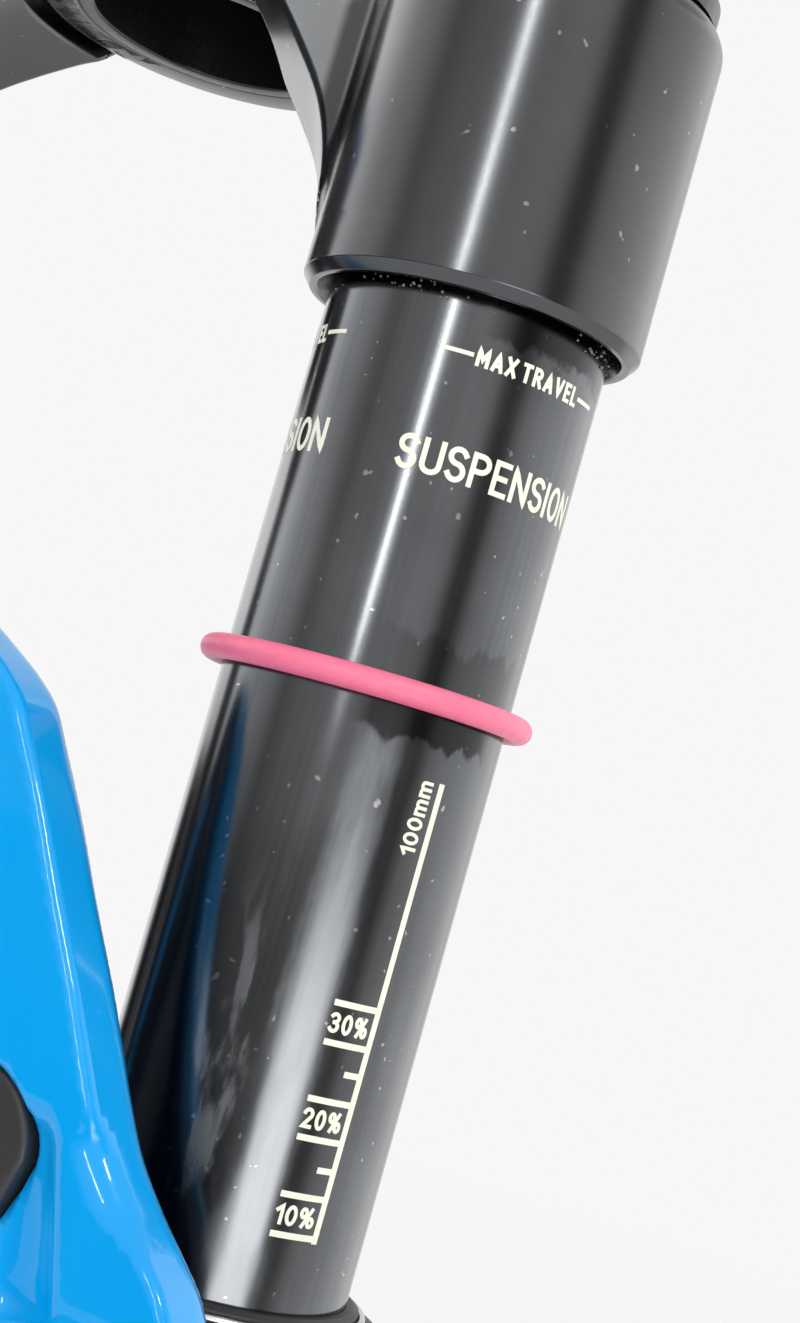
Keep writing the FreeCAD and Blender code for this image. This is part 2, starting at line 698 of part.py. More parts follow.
def lockout_knob():
    """The compression dial on the damper's top cap, its screw and the spool it turns."""
    base = "(-socket_top_drop + cap_flange_height + cap_hex_height + rest_gap)"
    dial = turned("knob_dial", "damper", base, [
        (0, 0),
        ("knob_radius - 0.6", 0),
        ("knob_radius", 0.6),
        ("knob_radius", "knob_height - 3"),
        ("knob_radius - 2.2", "knob_height"),
        (0, "knob_height"),
    ])
    lever = doc.addObject("Part::Wedge", "knob_lever")
    lever.Placement = FreeCAD.Placement(FreeCAD.Vector(0, 0, 0), FreeCAD.Rotation(FreeCAD.Vector(0, 0, 1), 180))
    bind(lever, Xmin="-lever_width / 2", Xmax="lever_width / 2", X2min="-lever_width * 0.3",
         X2max="lever_width * 0.3", Ymin=0, Ymax="lever_length", Zmin=0, Zmax="knob_height", Z2min=1.2,
         Z2max="knob_height - 1.6", Placement__Base__x="-stance / 2",
         Placement__Base__y="-crown_offset - knob_radius + 5", Placement__Base__z=base)
    bore = turned("knob_bore", "damper", f"{base} - 1", [
        (0, 0),
        ("spool_radius + fit_gap * 2", 0),
        ("spool_radius + fit_gap * 2", 4.5),
        (1.6, 4.5),
        (1.6, "knob_height - 0.8"),
        (3.6, "knob_height - 0.8"),
        (3.6, "knob_height + 3"),
        (0, "knob_height + 3"),
    ])
    flutes = drills("knob_flute", "damper", f"{base} + 1.5", 24, "knob_radius + 0.7", 1.2, "knob_height")
    kept = [tool for tool in flutes if flutes.index(tool) not in (17, 18, 19)]
    node(cut("lockout_knob", join("knob_body", [dial, lever]), [bore] + kept), "lockout_knob")
    screw = turned("knob_screw_blank", "damper", f"{base} + 3.6", [
        (0, 0),
        (1.5, 0),
        (1.5, "knob_height - 5.35"),
        (3.4, "knob_height - 5.35"),
        (3.4, "knob_height - 3.6"),
        (2.8, "knob_height - 3"),
        (0, "knob_height - 3"),
    ])
    socket = prism("knob_screw_socket", "damper", f"{base} + knob_height - 0.9", 1.5, 5)
    node(cut("lockout_knob_screw", screw, [socket]), "lockout_knob_screw")
    foot = f"({WIPER} + compression_height - 3.8)"
    node(turned("compression_spool", "damper", foot, [
        (0, 0),
        ("spool_radius - 0.8", 0),
        ("spool_radius", 2),
        ("spool_radius", f"{base} + 3.4 - {foot}"),
        (0, f"{base} + 3.4 - {foot}"),
    ]), "compression_spool")


def rebound_side():
    floor = f"{WIPER} - leg_floor_depth + 0.1"
    top = "leg_floor_depth - rebound_depth + 15"
    node(turned("rebound_shaft", "damper", floor, [
        ("foot_bolt_radius + fit_gap", 0),
        ("shaft_foot_diameter / 2", 0),
        ("shaft_foot_diameter / 2", 30),
        (SHAFT_R, 30),
        (SHAFT_R, top),
        ("rebound_bore", top),
        ("rebound_bore", 30),
        ("foot_bolt_radius + fit_gap", 30),
    ]), "rebound_shaft")
    base = f"{WIPER} - rebound_depth"
    blank = turned("rebound_blank", "damper", base, [
        (SHAFT_BORE, 0),
        ("cartridge_bore - 0.4", 0),
        ("cartridge_bore - 0.4", 3),
        ("cartridge_bore - 1.2", 3),
        ("cartridge_bore - 1.2", 9),
        ("cartridge_bore - 0.4", 9),
        ("cartridge_bore - 0.4", 12),
        (SHAFT_BORE, 12),
    ])
    ports = drills("rebound_port", "damper", f"{base} - 1", 6, "7.4", 1.1, 14)
    node(cut("rebound_piston", blank, ports), "rebound_piston")
    node(ring("rebound_piston_glide_ring", "damper", f"{base} + 3.05", "cartridge_bore - 1.15",
              "cartridge_bore - fit_gap", 5.9), "rebound_piston_glide_ring")
    node(shim_stack("rebound_shims", f"{base} + 12.2", SHAFT_BORE), "rebound_shims")
    knob_base = f"{WIPER} - rebound_knob_depth"
    knob = turned("rebound_knob_blank", "damper", knob_base, [
        (0, 0),
        ("rebound_knob_radius - 1.2", 0),
        ("rebound_knob_radius", 1.6),
        ("rebound_knob_radius", "rebound_knob_height"),
        ("rod_radius + fit_gap", "rebound_knob_height"),
        ("rod_radius + fit_gap", 6),
        (0, 6),
    ])
    flutes = drills("rebound_flute", "damper", f"{knob_base} - 1", 16, "rebound_knob_radius + 0.4", 0.9,
                    "rebound_knob_height - 2")
    node(cut("rebound_knob", knob, flutes), "rebound_knob")
    node(turned("rebound_adjuster_rod", "damper", f"{knob_base} + 6.1", [
        (0, 0),
        ("rod_radius", 0),
        ("rod_radius", "rebound_knob_depth - rebound_depth"),
        ("rod_radius - 1", "rebound_knob_depth - rebound_depth + 3"),
        (0, "rebound_knob_depth - rebound_depth + 3"),
    ]), "rebound_adjuster_rod")


# ---------------------------------------------------------------- fasteners at the feet

def foot_bolts():
    head_base = f"{WIPER} - foot_face_depth - washer_thickness - foot_bolt_head_height - 0.1"
    for leg, bore in (("air", 0), ("damper", "rod_radius + 0.3")):
        blank = turned(f"{leg}_bolt_blank", leg, head_base, [
            (bore, 0),
            ("foot_bolt_head_radius - 0.6", 0),
            ("foot_bolt_head_radius", 0.6),
            ("foot_bolt_head_radius", "foot_bolt_head_height"),
            ("foot_bolt_radius", "foot_bolt_head_height"),
            ("foot_bolt_radius", "foot_bolt_length"),
            (bore, "foot_bolt_length"),
        ])
        socket = prism(f"{leg}_bolt_socket", leg, f"{head_base} - 1", 3.2, 5)
        node(cut(f"{leg}_foot_bolt", blank, [socket]), f"{leg}_foot_bolt")
    node(group("crush_washers", [
        ring("washer", leg, f"{WIPER} - foot_face_depth - washer_thickness - 0.05", "foot_hole / 2 - 0.1",
             "foot_bolt_head_radius + 0.4", "washer_thickness")
        for leg in LEGS
    ]), "crush_washers")


# ---------------------------------------------------------------- lower legs

def seals_and_bushings():
    for leg in LEGS:
        base = f"{WIPER} - wiper_seat_depth"
        shelf = "wiper_seat_depth - collar_drop + 0.05"
        lip = "wiper_seat_depth"
        node(turned(f"{leg}_wiper_seal", leg, base, [
            (f"{TUBE_R} + 0.6", 0),
            ("seal_seat_bore / 2 - fit_gap", 0),
            ("seal_seat_bore / 2 - fit_gap", shelf),
            ("wiper_flange_radius", shelf),
            ("wiper_flange_radius", f"{lip} - 2.2"),
            ("garter_radius + 0.7", f"{lip} - 1.6"),
            ("garter_radius - 0.47", f"{lip} - 1.6"),
            ("garter_radius - 0.47", f"{lip} - 0.4"),
            (f"{TUBE_R} + 0.8", lip),
            (f"{TUBE_R} + fit_gap", lip),
            (f"{TUBE_R} + fit_gap", f"{lip} - 0.8"),
            (f"{TUBE_R} + 0.6", f"{lip} - 1.7"),
        ]), f"{leg}_wiper_seal")
        node(oring(f"{leg}_garter_spring", leg, f"{WIPER} - 1.13", "garter_radius", "garter_section"),
             f"{leg}_garter_spring")
        node(ring(f"{leg}_foam_ring", leg, f"{base} - foam_height - 0.2", f"{TUBE_R} + 0.15",
                  "seal_seat_bore / 2 - 0.1", "foam_height"), f"{leg}_foam_ring")
        for name in ("upper", "lower"):
            node(ring(f"{leg}_{name}_bushing", leg, f"{WIPER} - {name}_bushing_depth", f"{TUBE_R} + 0.04",
                      f"{TUBE_R} + 0.04 + bushing_wall", "bushing_length"), f"{leg}_{name}_bushing")


def leg_casting(leg):
    """The outside of one leg, from its foot up to the collar that holds the seals."""
    height = "(leg_end_depth - collar_drop)"
    return turned(f"{leg}_leg_blank", leg, f"{WIPER} - leg_end_depth", [
        (0, 0),
        ("leg_diameter / 2 - 6", 0),
        ("leg_diameter / 2 - 1.2", 10),
        ("leg_diameter / 2", 30),
        ("leg_diameter / 2", f"{height} - collar_length - 14"),
        ("collar_diameter / 2", f"{height} - collar_length"),
        ("collar_diameter / 2", f"{height} - 0.5"),
        ("collar_diameter / 2 - 0.5", height),
        (0, height),
    ])


def leg_core(leg):
    """What is bored out of one leg: foot bolt's seat and hole, leg bore and seal seat."""
    return turned(f"{leg}_leg_core", leg, f"{WIPER} - leg_end_depth - 30", [
        (0, 0),
        ("foot_counterbore / 2", 0),
        ("foot_counterbore / 2", "leg_end_depth - foot_face_depth + 30"),
        ("foot_hole / 2", "leg_end_depth - foot_face_depth + 30"),
        ("foot_hole / 2", "leg_end_depth - leg_floor_depth + 30"),
        ("leg_bore / 2", "leg_end_depth - leg_floor_depth + 30"),
        ("leg_bore / 2", "leg_end_depth - seal_seat_depth + 30"),
        ("seal_seat_bore / 2", "leg_end_depth - seal_seat_depth + 30"),
        ("seal_seat_bore / 2", "leg_end_depth + 32"),
        (0, "leg_end_depth + 32"),
    ])


def arch():
    """The bridge over the wheel, in front of the legs, with a foot down each collar."""
    wiper = size("lower_height") - size("crown_to_axle")
    rear = -size("crown_offset") - size("collar_diameter") / 2 - size("arch_rear_gap")
    front = rear - size("arch_thickness")
    under = size("arch_underside")
    top = under + size("arch_middle_depth")
    half = [(80.0, 1.5, 3), (68.5, 14, 14), (49.5, 45.5, 30), (42.5, 57.0, 9), (18.0, top - 1, 40)]
    inner = [(47.5, 0.0, 5), (47.0, 15.0, 12), (39.0, 34.0, 16), (24.0, under - 2, 22)]
    foot = [(79.0, -22.0, 4), (52.0, -22.0, 4)]
    outline = half + [(-across, up, turn) for across, up, turn in reversed(half)]
    outline += [(-across, up, turn) for across, up, turn in foot]
    outline += [(-across, up, turn) for across, up, turn in inner]
    outline += [(across, up, turn) for across, up, turn in reversed(inner)]
    outline += [(across, up, turn) for across, up, turn in reversed(foot)]
    wire = rounded_wire(outline, lambda flat: FreeCAD.Vector(flat.x, front, wiper + flat.y))
    solid = Part.Face(wire).extrude(FreeCAD.Vector(0, rear - front, 0))
    return shaped("arch_blank", solid)


def arch_feet():
    """Wedges that carry the arch back into the collars."""
    feet = []
    for side in LEGS.values():
        foot = doc.addObject("Part::Wedge", "arch_foot")
        inner = "(stance / 2 - arch_foot_inner)"
        outer = "(stance / 2 + arch_foot_outer)"
        low, high = (inner, outer) if side > 0 else (f"-{outer}", f"-{inner}")
        foot.Placement = FreeCAD.Placement(FreeCAD.Vector(0, 0, 0),
                                           FreeCAD.Rotation(FreeCAD.Vector(1, 0, 0), 90))
        bind(foot, Xmin=f"{low} + arch_foot_taper", Xmax=f"{high} - arch_foot_taper", X2min=low, X2max=high,
             Ymin=0, Ymax="arch_foot_height", Zmin="crown_offset", Zmax="crown_offset + collar_diameter / 2",
             Z2min="crown_offset", Z2max="crown_offset + collar_diameter / 2 + arch_rear_gap + arch_thickness",
             Placement__Base__z=f"{WIPER} - collar_drop - arch_foot_height - 0.5")
        feet.append(foot)
    return feet


def arch_pockets():
    """A blind round pocket low on the front of each of the arch's pillars."""
    pockets = []
    for side in LEGS.values():
        pocket = cylinder("arch_pocket", "arch_pocket_radius", "arch_pocket_depth + 1")
        pocket.Placement = FreeCAD.Placement(FreeCAD.Vector(0, 0, 0),
                                             FreeCAD.Rotation(FreeCAD.Vector(1, 0, 0), -90))
        bind(pocket, Placement__Base__x=f"{side} * arch_pocket_x",
             Placement__Base__y="-crown_offset - collar_diameter / 2 - arch_rear_gap - arch_thickness - 1",
             Placement__Base__z=f"{WIPER} + arch_pocket_height")
        pockets.append(pocket)
    return pockets


def dropout(side):
    """The plate in front of one leg's foot that holds the axle, with a raised hub face."""
    wiper = size("lower_height") - size("crown_to_axle")
    axle_z = -size("crown_to_axle")
    axle_y = -size("axle_offset")
    radius = size("dropout_radius")
    leg_y = -size("crown_offset")
    leg_r = size("leg_diameter") / 2
    end = wiper - size("leg_end_depth")
    inner = size("hub_width") / 2 + size("hub_face_height")
    outer = size("hub_width") / 2 + size("dropout_thickness")
    outline = [(axle_y - radius, axle_z - radius, radius - 0.1), (axle_y + radius, axle_z - radius, radius - 0.1),
               (axle_y + radius + 1, end - 1, 3), (leg_y, end, 0.5), (leg_y, end + 52, 0.5),
               (leg_y - leg_r + 2, end + 52, 3), (axle_y - radius + 2, end + 12, 20)]
    wire = rounded_wire(outline, lambda flat: FreeCAD.Vector(side * inner, flat.x, flat.y))
    plate = Part.Face(wire).extrude(FreeCAD.Vector(side * (outer - inner), 0, 0))
    start = FreeCAD.Vector(side * size("hub_width") / 2, axle_y, axle_z)
    axis = FreeCAD.Vector(side, 0, 0)
    face = Part.makeCylinder(size("hub_face_radius"), size("hub_face_height") + 1, start, axis)
    return shaped("dropout_blank", plate.fuse(face))


def axle_bore(side):
    item = cylinder("axle_bore", "axle_diameter / 2", "dropout_thickness + 20")
    item.Placement = FreeCAD.Placement(FreeCAD.Vector(0, 0, 0), FreeCAD.Rotation(FreeCAD.Vector(0, 1, 0), 90 * side))
    return bind(item, Placement__Base__x=f"{side} * (hub_width / 2 - 10)", Placement__Base__y="-axle_offset",
                Placement__Base__z="-crown_to_axle")


def rearward(item, across, start, up):
    """Lay a cylinder along +Y."""
    item.Placement = FreeCAD.Placement(FreeCAD.Vector(0, 0, 0), FreeCAD.Rotation(FreeCAD.Vector(1, 0, 0), -90))
    return bind(item, Placement__Base__x=across, Placement__Base__y=start, Placement__Base__z=up)


def brake_posts():
    """Two tapped posts behind the left leg, joined by a web."""
    posts = []
    for count in (0, 1):
        up = f"-crown_to_axle + post_low_height + {count} * post_spacing"
        posts.append(rearward(cylinder("brake_post", "post_radius", "crown_offset + post_face_y"),
                              "post_x", "-crown_offset", up))
    web = doc.addObject("Part::Box", "post_web")
    bind(web, Length="post_radius", Width="crown_offset + post_face_y - 7", Height="post_spacing",
         Placement__Base__x="post_x - post_radius / 2 + 1", Placement__Base__y="-crown_offset",
         Placement__Base__z="-crown_to_axle + post_low_height")
    posts.append(web)
    return posts


def post_holes():
    return [
        rearward(cylinder("post_hole", "post_hole / 2", "post_depth + 5"), "post_x", "post_face_y - post_depth",
                 f"-crown_to_axle + post_low_height + {count} * post_spacing")
        for count in (0, 1)
    ]


GUIDE_UP = f"{WIPER} - 96"
GUIDE_Y = "(-crown_offset + leg_diameter / 2)"


def hose_guide():
    """The clip behind the left leg that holds the brake hose, and its screw."""
    block = doc.addObject("Part::Box", "guide_block")
    bind(block, Length=11, Width=12, Height=9, Placement__Base__x="stance / 2 - 5.5",
         Placement__Base__y=f"{GUIDE_Y} + 3.05", Placement__Base__z=f"{GUIDE_UP} - 4.5")
    ear = doc.addObject("Part::Box", "guide_ear")
    bind(ear, Length=12, Width=7, Height=9, Placement__Base__x="stance / 2 + 4",
         Placement__Base__y=f"{GUIDE_Y} + 5", Placement__Base__z=f"{GUIDE_UP} - 4.5")
    screw_hole = rearward(cylinder("guide_screw_hole", 1.75, 40), "stance / 2", f"{GUIDE_Y}", GUIDE_UP)
    head_seat = rearward(cylinder("guide_head_seat", 3.4, 20), "stance / 2", f"{GUIDE_Y} + 10", GUIDE_UP)
    hose = cylinder("guide_hose_way", 2.6, 20)
    bind(hose, Placement__Base__x="stance / 2 + 11", Placement__Base__y=f"{GUIDE_Y} + 8.5",
         Placement__Base__z=f"{GUIDE_UP} - 10")
    mouth = doc.addObject("Part::Box", "guide_mouth")
    bind(mouth, Length=3.6, Width=10, Height=20, Placement__Base__x="stance / 2 + 9.2",
         Placement__Base__y=f"{GUIDE_Y} + 8.5", Placement__Base__z=f"{GUIDE_UP} - 10")
    node(cut("brake_hose_guide", join("guide_body", [block, ear]), [screw_hole, head_seat, hose, mouth]),
         "brake_hose_guide")
    head = rearward(cylinder("guide_screw_head", 3.0, 2.6), "stance / 2", f"{GUIDE_Y} + 10.1", GUIDE_UP)
    shank = rearward(cylinder("guide_screw_shank", 1.5, 11.2), "stance / 2", f"{GUIDE_Y} - 1", GUIDE_UP)
    socket = rearward(prism("guide_screw_socket", None, 0, 1.4, 5), "stance / 2", f"{GUIDE_Y} + 11.2", GUIDE_UP)
    node(cut("hose_guide_screw", join("guide_screw_body", [head, shank]), [socket]), "hose_guide_screw")


def lower_legs():
    boss = rearward(cylinder("guide_boss", 5, "leg_diameter / 2 + 3"), "stance / 2", "-crown_offset", GUIDE_UP)
    boss_hole = rearward(cylinder("guide_boss_hole", 1.6, 6), "stance / 2", f"{GUIDE_Y} - 1.2", GUIDE_UP)
    solids = [arch(), boss] + arch_feet() + brake_posts()
    tools = [boss_hole] + post_holes() + arch_pockets()
    for leg, side in LEGS.items():
        solids += [leg_casting(leg), dropout(side)]
        tools += [leg_core(leg), axle_bore(side)]
    node(cut("lower_legs", join("casting_blank", solids), tools), "lower_legs")


def main():
    steerer_tube()
    crown()
    stanchions()
    sag_ring()
    seal_heads()
    air_top_cap()
    air_valve()
    air_spring()
    damper_top_cap()
    compression_side()
    lockout_knob()
    rebound_side()
    foot_bolts()
    seals_and_bushings()
    hose_guide()
    lower_legs()
    doc.recompute()
    for item in doc.Objects:
        if "Invalid" in item.State or "Error" in item.State:
            raise RuntimeError(f"{item.Label} ({item.TypeId}) did not compute: {item.State}")
    os.makedirs("parts", exist_ok=True)
    for item in nodes:
        shape = item.Shape
        if shape.isNull() or not shape.isValid():
            raise RuntimeError(f"{item.Label} has no valid shape")
        shape.exportStep(f"parts/{item.Label}.step")
        print(f"{item.Label}: {len(shape.Solids)} solid(s), {shape.Volume:.0f} mm3")


main()
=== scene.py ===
"""Visual model of a bicycle suspension fork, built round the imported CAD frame.

Shapes are worked out in millimetres in the row frame, and turned into metres when a mesh is made.
Heights called `rise` are measured from the top of the wiper seals.
"""
import bmesh
import bpy
import json
import math
import numpy as np
import openvdb
from mathutils import Matrix, Vector


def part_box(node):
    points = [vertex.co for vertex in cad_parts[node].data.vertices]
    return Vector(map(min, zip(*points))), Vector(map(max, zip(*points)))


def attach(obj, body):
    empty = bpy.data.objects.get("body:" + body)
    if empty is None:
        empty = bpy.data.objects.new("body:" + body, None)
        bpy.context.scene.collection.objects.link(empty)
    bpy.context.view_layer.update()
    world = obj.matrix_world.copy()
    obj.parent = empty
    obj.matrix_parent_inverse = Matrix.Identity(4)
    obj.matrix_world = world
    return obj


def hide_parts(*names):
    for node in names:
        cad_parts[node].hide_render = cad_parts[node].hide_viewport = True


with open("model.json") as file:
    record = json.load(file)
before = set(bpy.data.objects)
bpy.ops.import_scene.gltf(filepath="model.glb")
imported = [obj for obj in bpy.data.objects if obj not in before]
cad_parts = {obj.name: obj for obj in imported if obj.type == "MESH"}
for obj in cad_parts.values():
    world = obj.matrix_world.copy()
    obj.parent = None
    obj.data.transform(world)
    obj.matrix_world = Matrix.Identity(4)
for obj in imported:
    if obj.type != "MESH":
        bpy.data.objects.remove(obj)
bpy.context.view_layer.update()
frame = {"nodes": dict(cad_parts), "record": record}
MM = 0.001


# ---------------------------------------------------------------- sizes read from the frame

def low(node):
    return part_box(node)[0] / MM


def high(node):
    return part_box(node)[1] / MM


WIPER = high("air_wiper_seal").z
TUBE_R = (high("air_stanchion").x - low("air_stanchion").x) / 2
LEG_X = (high("air_stanchion").x + low("air_stanchion").x) / 2
LEG_Y = (high("air_stanchion").y + low("air_stanchion").y) / 2
LIP = low("crown").z
HUB_UNDER = low("steerer_tube").z
EYE_R = 12.5            # of the metal round the axle hole
AXLE_Y = -51.0
AXLE_Z = low("lower_legs").z + EYE_R
SIDES = {"air": 1, "damper": -1}


def linked(name, data):
    """A new object in the scene."""
    item = bpy.data.objects.new(name, data)
    bpy.context.scene.collection.objects.link(item)
    return item


def mesh_from(work, name):
    """A new mesh with what a bmesh holds; the bmesh is freed."""
    mesh = bpy.data.meshes.new(name)
    work.to_mesh(mesh)
    work.free()
    return mesh


# ---------------------------------------------------------------- camera

CAMERA_PLACE = (0.18510, -0.23414, -0.12812)
CAMERA_YAW = 28.943
CAMERA_TILT = 94.207
CAMERA_ROLL = 15.804
CAMERA_LENS = 58.85


def make_camera():
    data = bpy.data.cameras.new("camera")
    data.lens = CAMERA_LENS
    data.sensor_width = 36
    data.clip_start = 0.01
    camera = linked("camera", data)
    turn = (Matrix.Rotation(math.radians(CAMERA_YAW), 4, "Z")
            @ Matrix.Rotation(math.radians(CAMERA_TILT), 4, "X")
            @ Matrix.Rotation(math.radians(CAMERA_ROLL), 4, "Z"))
    camera.matrix_world = Matrix.Translation(CAMERA_PLACE) @ turn
    bpy.context.scene.camera = camera


make_camera()


# ---------------------------------------------------------------- materials

class Shade:
    """A procedural material. Sockets that vary are linked, and the rest keep plain numbers."""

    def __init__(self, name, **plain):
        self.material = bpy.data.materials.new(name)
        self.material.use_nodes = True
        self.tree = self.material.node_tree
        self.shader = next(n for n in self.tree.nodes if n.type == "BSDF_PRINCIPLED")
        for socket, value in plain.items():
            self.shader.inputs[socket.replace("_", " ")].default_value = value
        self.where = self.add("ShaderNodeTexCoord").outputs["Object"]

    def add(self, kind, settings=None, **inputs):
        node = self.tree.nodes.new(kind)
        for name, value in (settings or {}).items():
            setattr(node, name, value)
        for name, value in inputs.items():
            self.put(node, name.replace("_", " "), value)
        return node

    def put(self, node, socket, value):
        target = node.inputs[int(socket)] if socket.isdigit() else node.inputs[socket]
        if isinstance(value, bpy.types.NodeSocket):
            self.tree.links.new(value, target)
        else:
            target.default_value = value

    def sum(self, operation, a, b=0.0, c=0.0):
        node = self.add("ShaderNodeMath", {"operation": operation})
        for index, value in enumerate((a, b, c)):
            self.put(node, str(index), value)
        return node.outputs[0]

    def axis(self, name):
        return self.add("ShaderNodeSeparateXYZ", None, Vector=self.where).outputs[name]

    def length(self, a, b):
        squares = self.sum("ADD", self.sum("POWER", a, 2.0), self.sum("POWER", b, 2.0))
        return self.sum("SQRT", squares)

    def noise(self, scale, stretch=(1, 1, 1), detail=3.0):
        mapped = self.add("ShaderNodeMapping", None, Vector=self.where, Scale=stretch)
        made = self.add("ShaderNodeTexNoise", None, Vector=mapped.outputs[0], Scale=scale, Detail=detail)
        return made.outputs["Fac"]

    def remap(self, value, start, end, to_start=0.0, to_end=1.0, smooth=False):
        node = self.add("ShaderNodeMapRange", {"interpolation_type": "SMOOTHSTEP" if smooth else "LINEAR"})
        for index, number in enumerate((value, start, end, to_start, to_end)):
            self.put(node, str(index), number)
        return node.outputs[0]

    def blend(self, share, a, b):
        node = self.add("ShaderNodeMix", {"data_type": "RGBA"})
        self.put(node, "0", share)
        self.put(node, "6", a)
        self.put(node, "7", b)
        return node.outputs[2]

    def bump(self, height, depth):
        node = self.add("ShaderNodeBump", None, Height=height, Distance=depth)
        self.put(self.shader, "Normal", node.outputs[0])

    def colour(self, value):
        self.put(self.shader, "Base Color", value)

    def roughness(self, value):
        self.put(self.shader, "Roughness", value)


def rgb(red, green, blue):
    return (red, green, blue, 1.0)


def scaled(colour, share):
    return (colour[0] * share, colour[1] * share, colour[2] * share, 1.0)


GLOSS_SPREAD = 0.07     # how far a plain finish's roughness strays each way


def surface(name, base, rough, grain=900.0, depth=0.00001, tint=0.18, **plain):
    """A finish with cloudy colour, patchy gloss and a fine grain."""
    shade = Shade(name, **plain)
    cloud = shade.noise(60.0, detail=4.0)
    fine = shade.noise(grain, detail=4.0)
    mixed = shade.sum("ADD", shade.sum("MULTIPLY", cloud, 0.55), shade.sum("MULTIPLY", fine, 0.45))
    shade.colour(shade.blend(shade.remap(mixed, 0.3, 0.7), scaled(base, 1 - tint), scaled(base, 1 + tint)))
    shade.roughness(shade.remap(mixed, 0.3, 0.7, rough + GLOSS_SPREAD, rough - GLOSS_SPREAD))
    shade.bump(fine, depth)
    return shade


def leg_angle(shade):
    """Azimuth round the air-side leg's axis, in degrees, from the front towards the rider's left."""
    across = shade.sum("SUBTRACT", shade.axis("X"), LEG_X * MM)
    back = shade.sum("SUBTRACT", shade.axis("Y"), LEG_Y * MM)
    turn = shade.sum("ARCTAN2", across, shade.sum("MULTIPLY", back, -1.0))
    return shade.sum("MULTIPLY", turn, 180 / math.pi)


def rise_of(shade):
    """Height above the wiper seals, in millimetres."""
    return shade.sum("MULTIPLY_ADD", shade.axis("Z"), 1 / MM, -WIPER)


def between(shade, value, start, end, soft):
    """A soft-edged band: one inside start to end, nothing outside."""
    inside = shade.remap(value, start - soft, start + soft, smooth=True)
    return shade.sum("MULTIPLY", inside, shade.remap(value, end + soft, end - soft, smooth=True))


# Marks on the air-side tube: wear and dirt, a dust patch that also carries painted sheen, and a darker band at
# the lip; azimuth (start, end, soft edge), and rise the same way.
SCUFF_TURN, SCUFF_RISE = (6, 27, 5), (10, 40, 6)
DUST_SHEEN_TURN, DUST_SHEEN_RISE = (28, 52, 6), (2, 60, 4)
RESIDUE_TURN = (30, 88, 5)
SMUDGE_TURN = (34, 96, 9)
LIP_DARK_TURN = (40, 112, 8)
RAGGED = 7.0            # how far a dirty edge wanders up and down


def stanchion_finish():
    """Black hard anodising with marks that the ring and dirt left on the air side, a dust patch with painted
    sheen, and a darker band at the lip.
    """
    shade = Shade("stanchion_black", Metallic=1.0)
    angle, rise = leg_angle(shade), rise_of(shade)
    streak = shade.noise(30.0, (60, 60, 1.0), detail=4.0)
    fine = shade.noise(120.0, (60, 60, 1.0), detail=3.0)
    cloud = shade.noise(55.0, detail=5.0)
    rubbed = shade.noise(330.0, (1, 1, 0.25), detail=8.0)
    worn = shade.sum("ADD", shade.sum("MULTIPLY", streak, 0.35), shade.sum("MULTIPLY", cloud, 0.65))
    base = shade.blend(shade.remap(worn, 0.35, 0.65), rgb(0.092, 0.096, 0.101), rgb(0.124, 0.129, 0.135))
    speck = shade.remap(shade.noise(900.0, detail=1.0), 0.745, 0.765)
    base = shade.blend(shade.sum("MULTIPLY", speck, 0.5), base, rgb(0.5, 0.5, 0.48))
    scuffed = shade.sum("MULTIPLY", between(shade, angle, *SCUFF_TURN), between(shade, rise, *SCUFF_RISE))
    scuffed = shade.sum("MULTIPLY", scuffed, shade.remap(rubbed, 0.52, 0.60))
    # The dust patch is lighter and rougher; its lighter colour also stands in as painted sheen below the ring.
    dust_and_sheen = shade.sum("MULTIPLY", between(shade, angle, *DUST_SHEEN_TURN), between(shade, rise, *DUST_SHEEN_RISE))
    dust_and_sheen = shade.sum("MULTIPLY", dust_and_sheen, shade.remap(rubbed, 0.42, 0.62, 0.1, 1.0))
    ragged = shade.sum("MULTIPLY_ADD", shade.noise(420.0, (1, 1, 0.3), detail=5.0), RAGGED, rise)
    residue = shade.sum("MULTIPLY", shade.remap(ragged, 63.2, 63.8), shade.remap(rise, 63.2, 62.9))
    residue = shade.sum("MULTIPLY", residue, between(shade, angle, *RESIDUE_TURN))
    smudge = shade.sum("MULTIPLY", shade.remap(ragged, 74.6, 73.8), shade.remap(rise, 65.4, 65.7))
    smudge = shade.sum("MULTIPLY", smudge, between(shade, angle, *SMUDGE_TURN))
    # The tube is darker in a ragged band where it enters the crown's lip.
    lip_dark_band = shade.sum("MULTIPLY_ADD", shade.noise(300.0, detail=5.0), RAGGED, rise)
    lip_dark_band = shade.sum("MULTIPLY", shade.remap(lip_dark_band, 105.4, 106.4), between(shade, angle, *LIP_DARK_TURN))
    base = shade.blend(shade.sum("MULTIPLY", lip_dark_band, 0.8), base, rgb(0.02, 0.02, 0.022))
    base = shade.blend(shade.sum("MULTIPLY", scuffed, 0.55), base, rgb(0.23, 0.235, 0.24))
    base = shade.blend(shade.sum("MULTIPLY", dust_and_sheen, 0.30), base, rgb(0.21, 0.22, 0.225))
    base = shade.blend(shade.sum("MULTIPLY", residue, 0.85), base, rgb(0.018, 0.018, 0.020))
    shade.colour(shade.blend(shade.sum("MULTIPLY", smudge, 0.45), base, rgb(0.035, 0.036, 0.038)))
    rough = shade.remap(worn, 0.3, 0.7, 0.14, 0.19)
    marks = shade.sum("ADD", shade.sum("MULTIPLY", scuffed, 0.20), shade.sum("MULTIPLY", dust_and_sheen, 0.12))
    shade.roughness(shade.sum("ADD", rough, marks))
    shade.bump(fine, 0.0000012)
    return shade


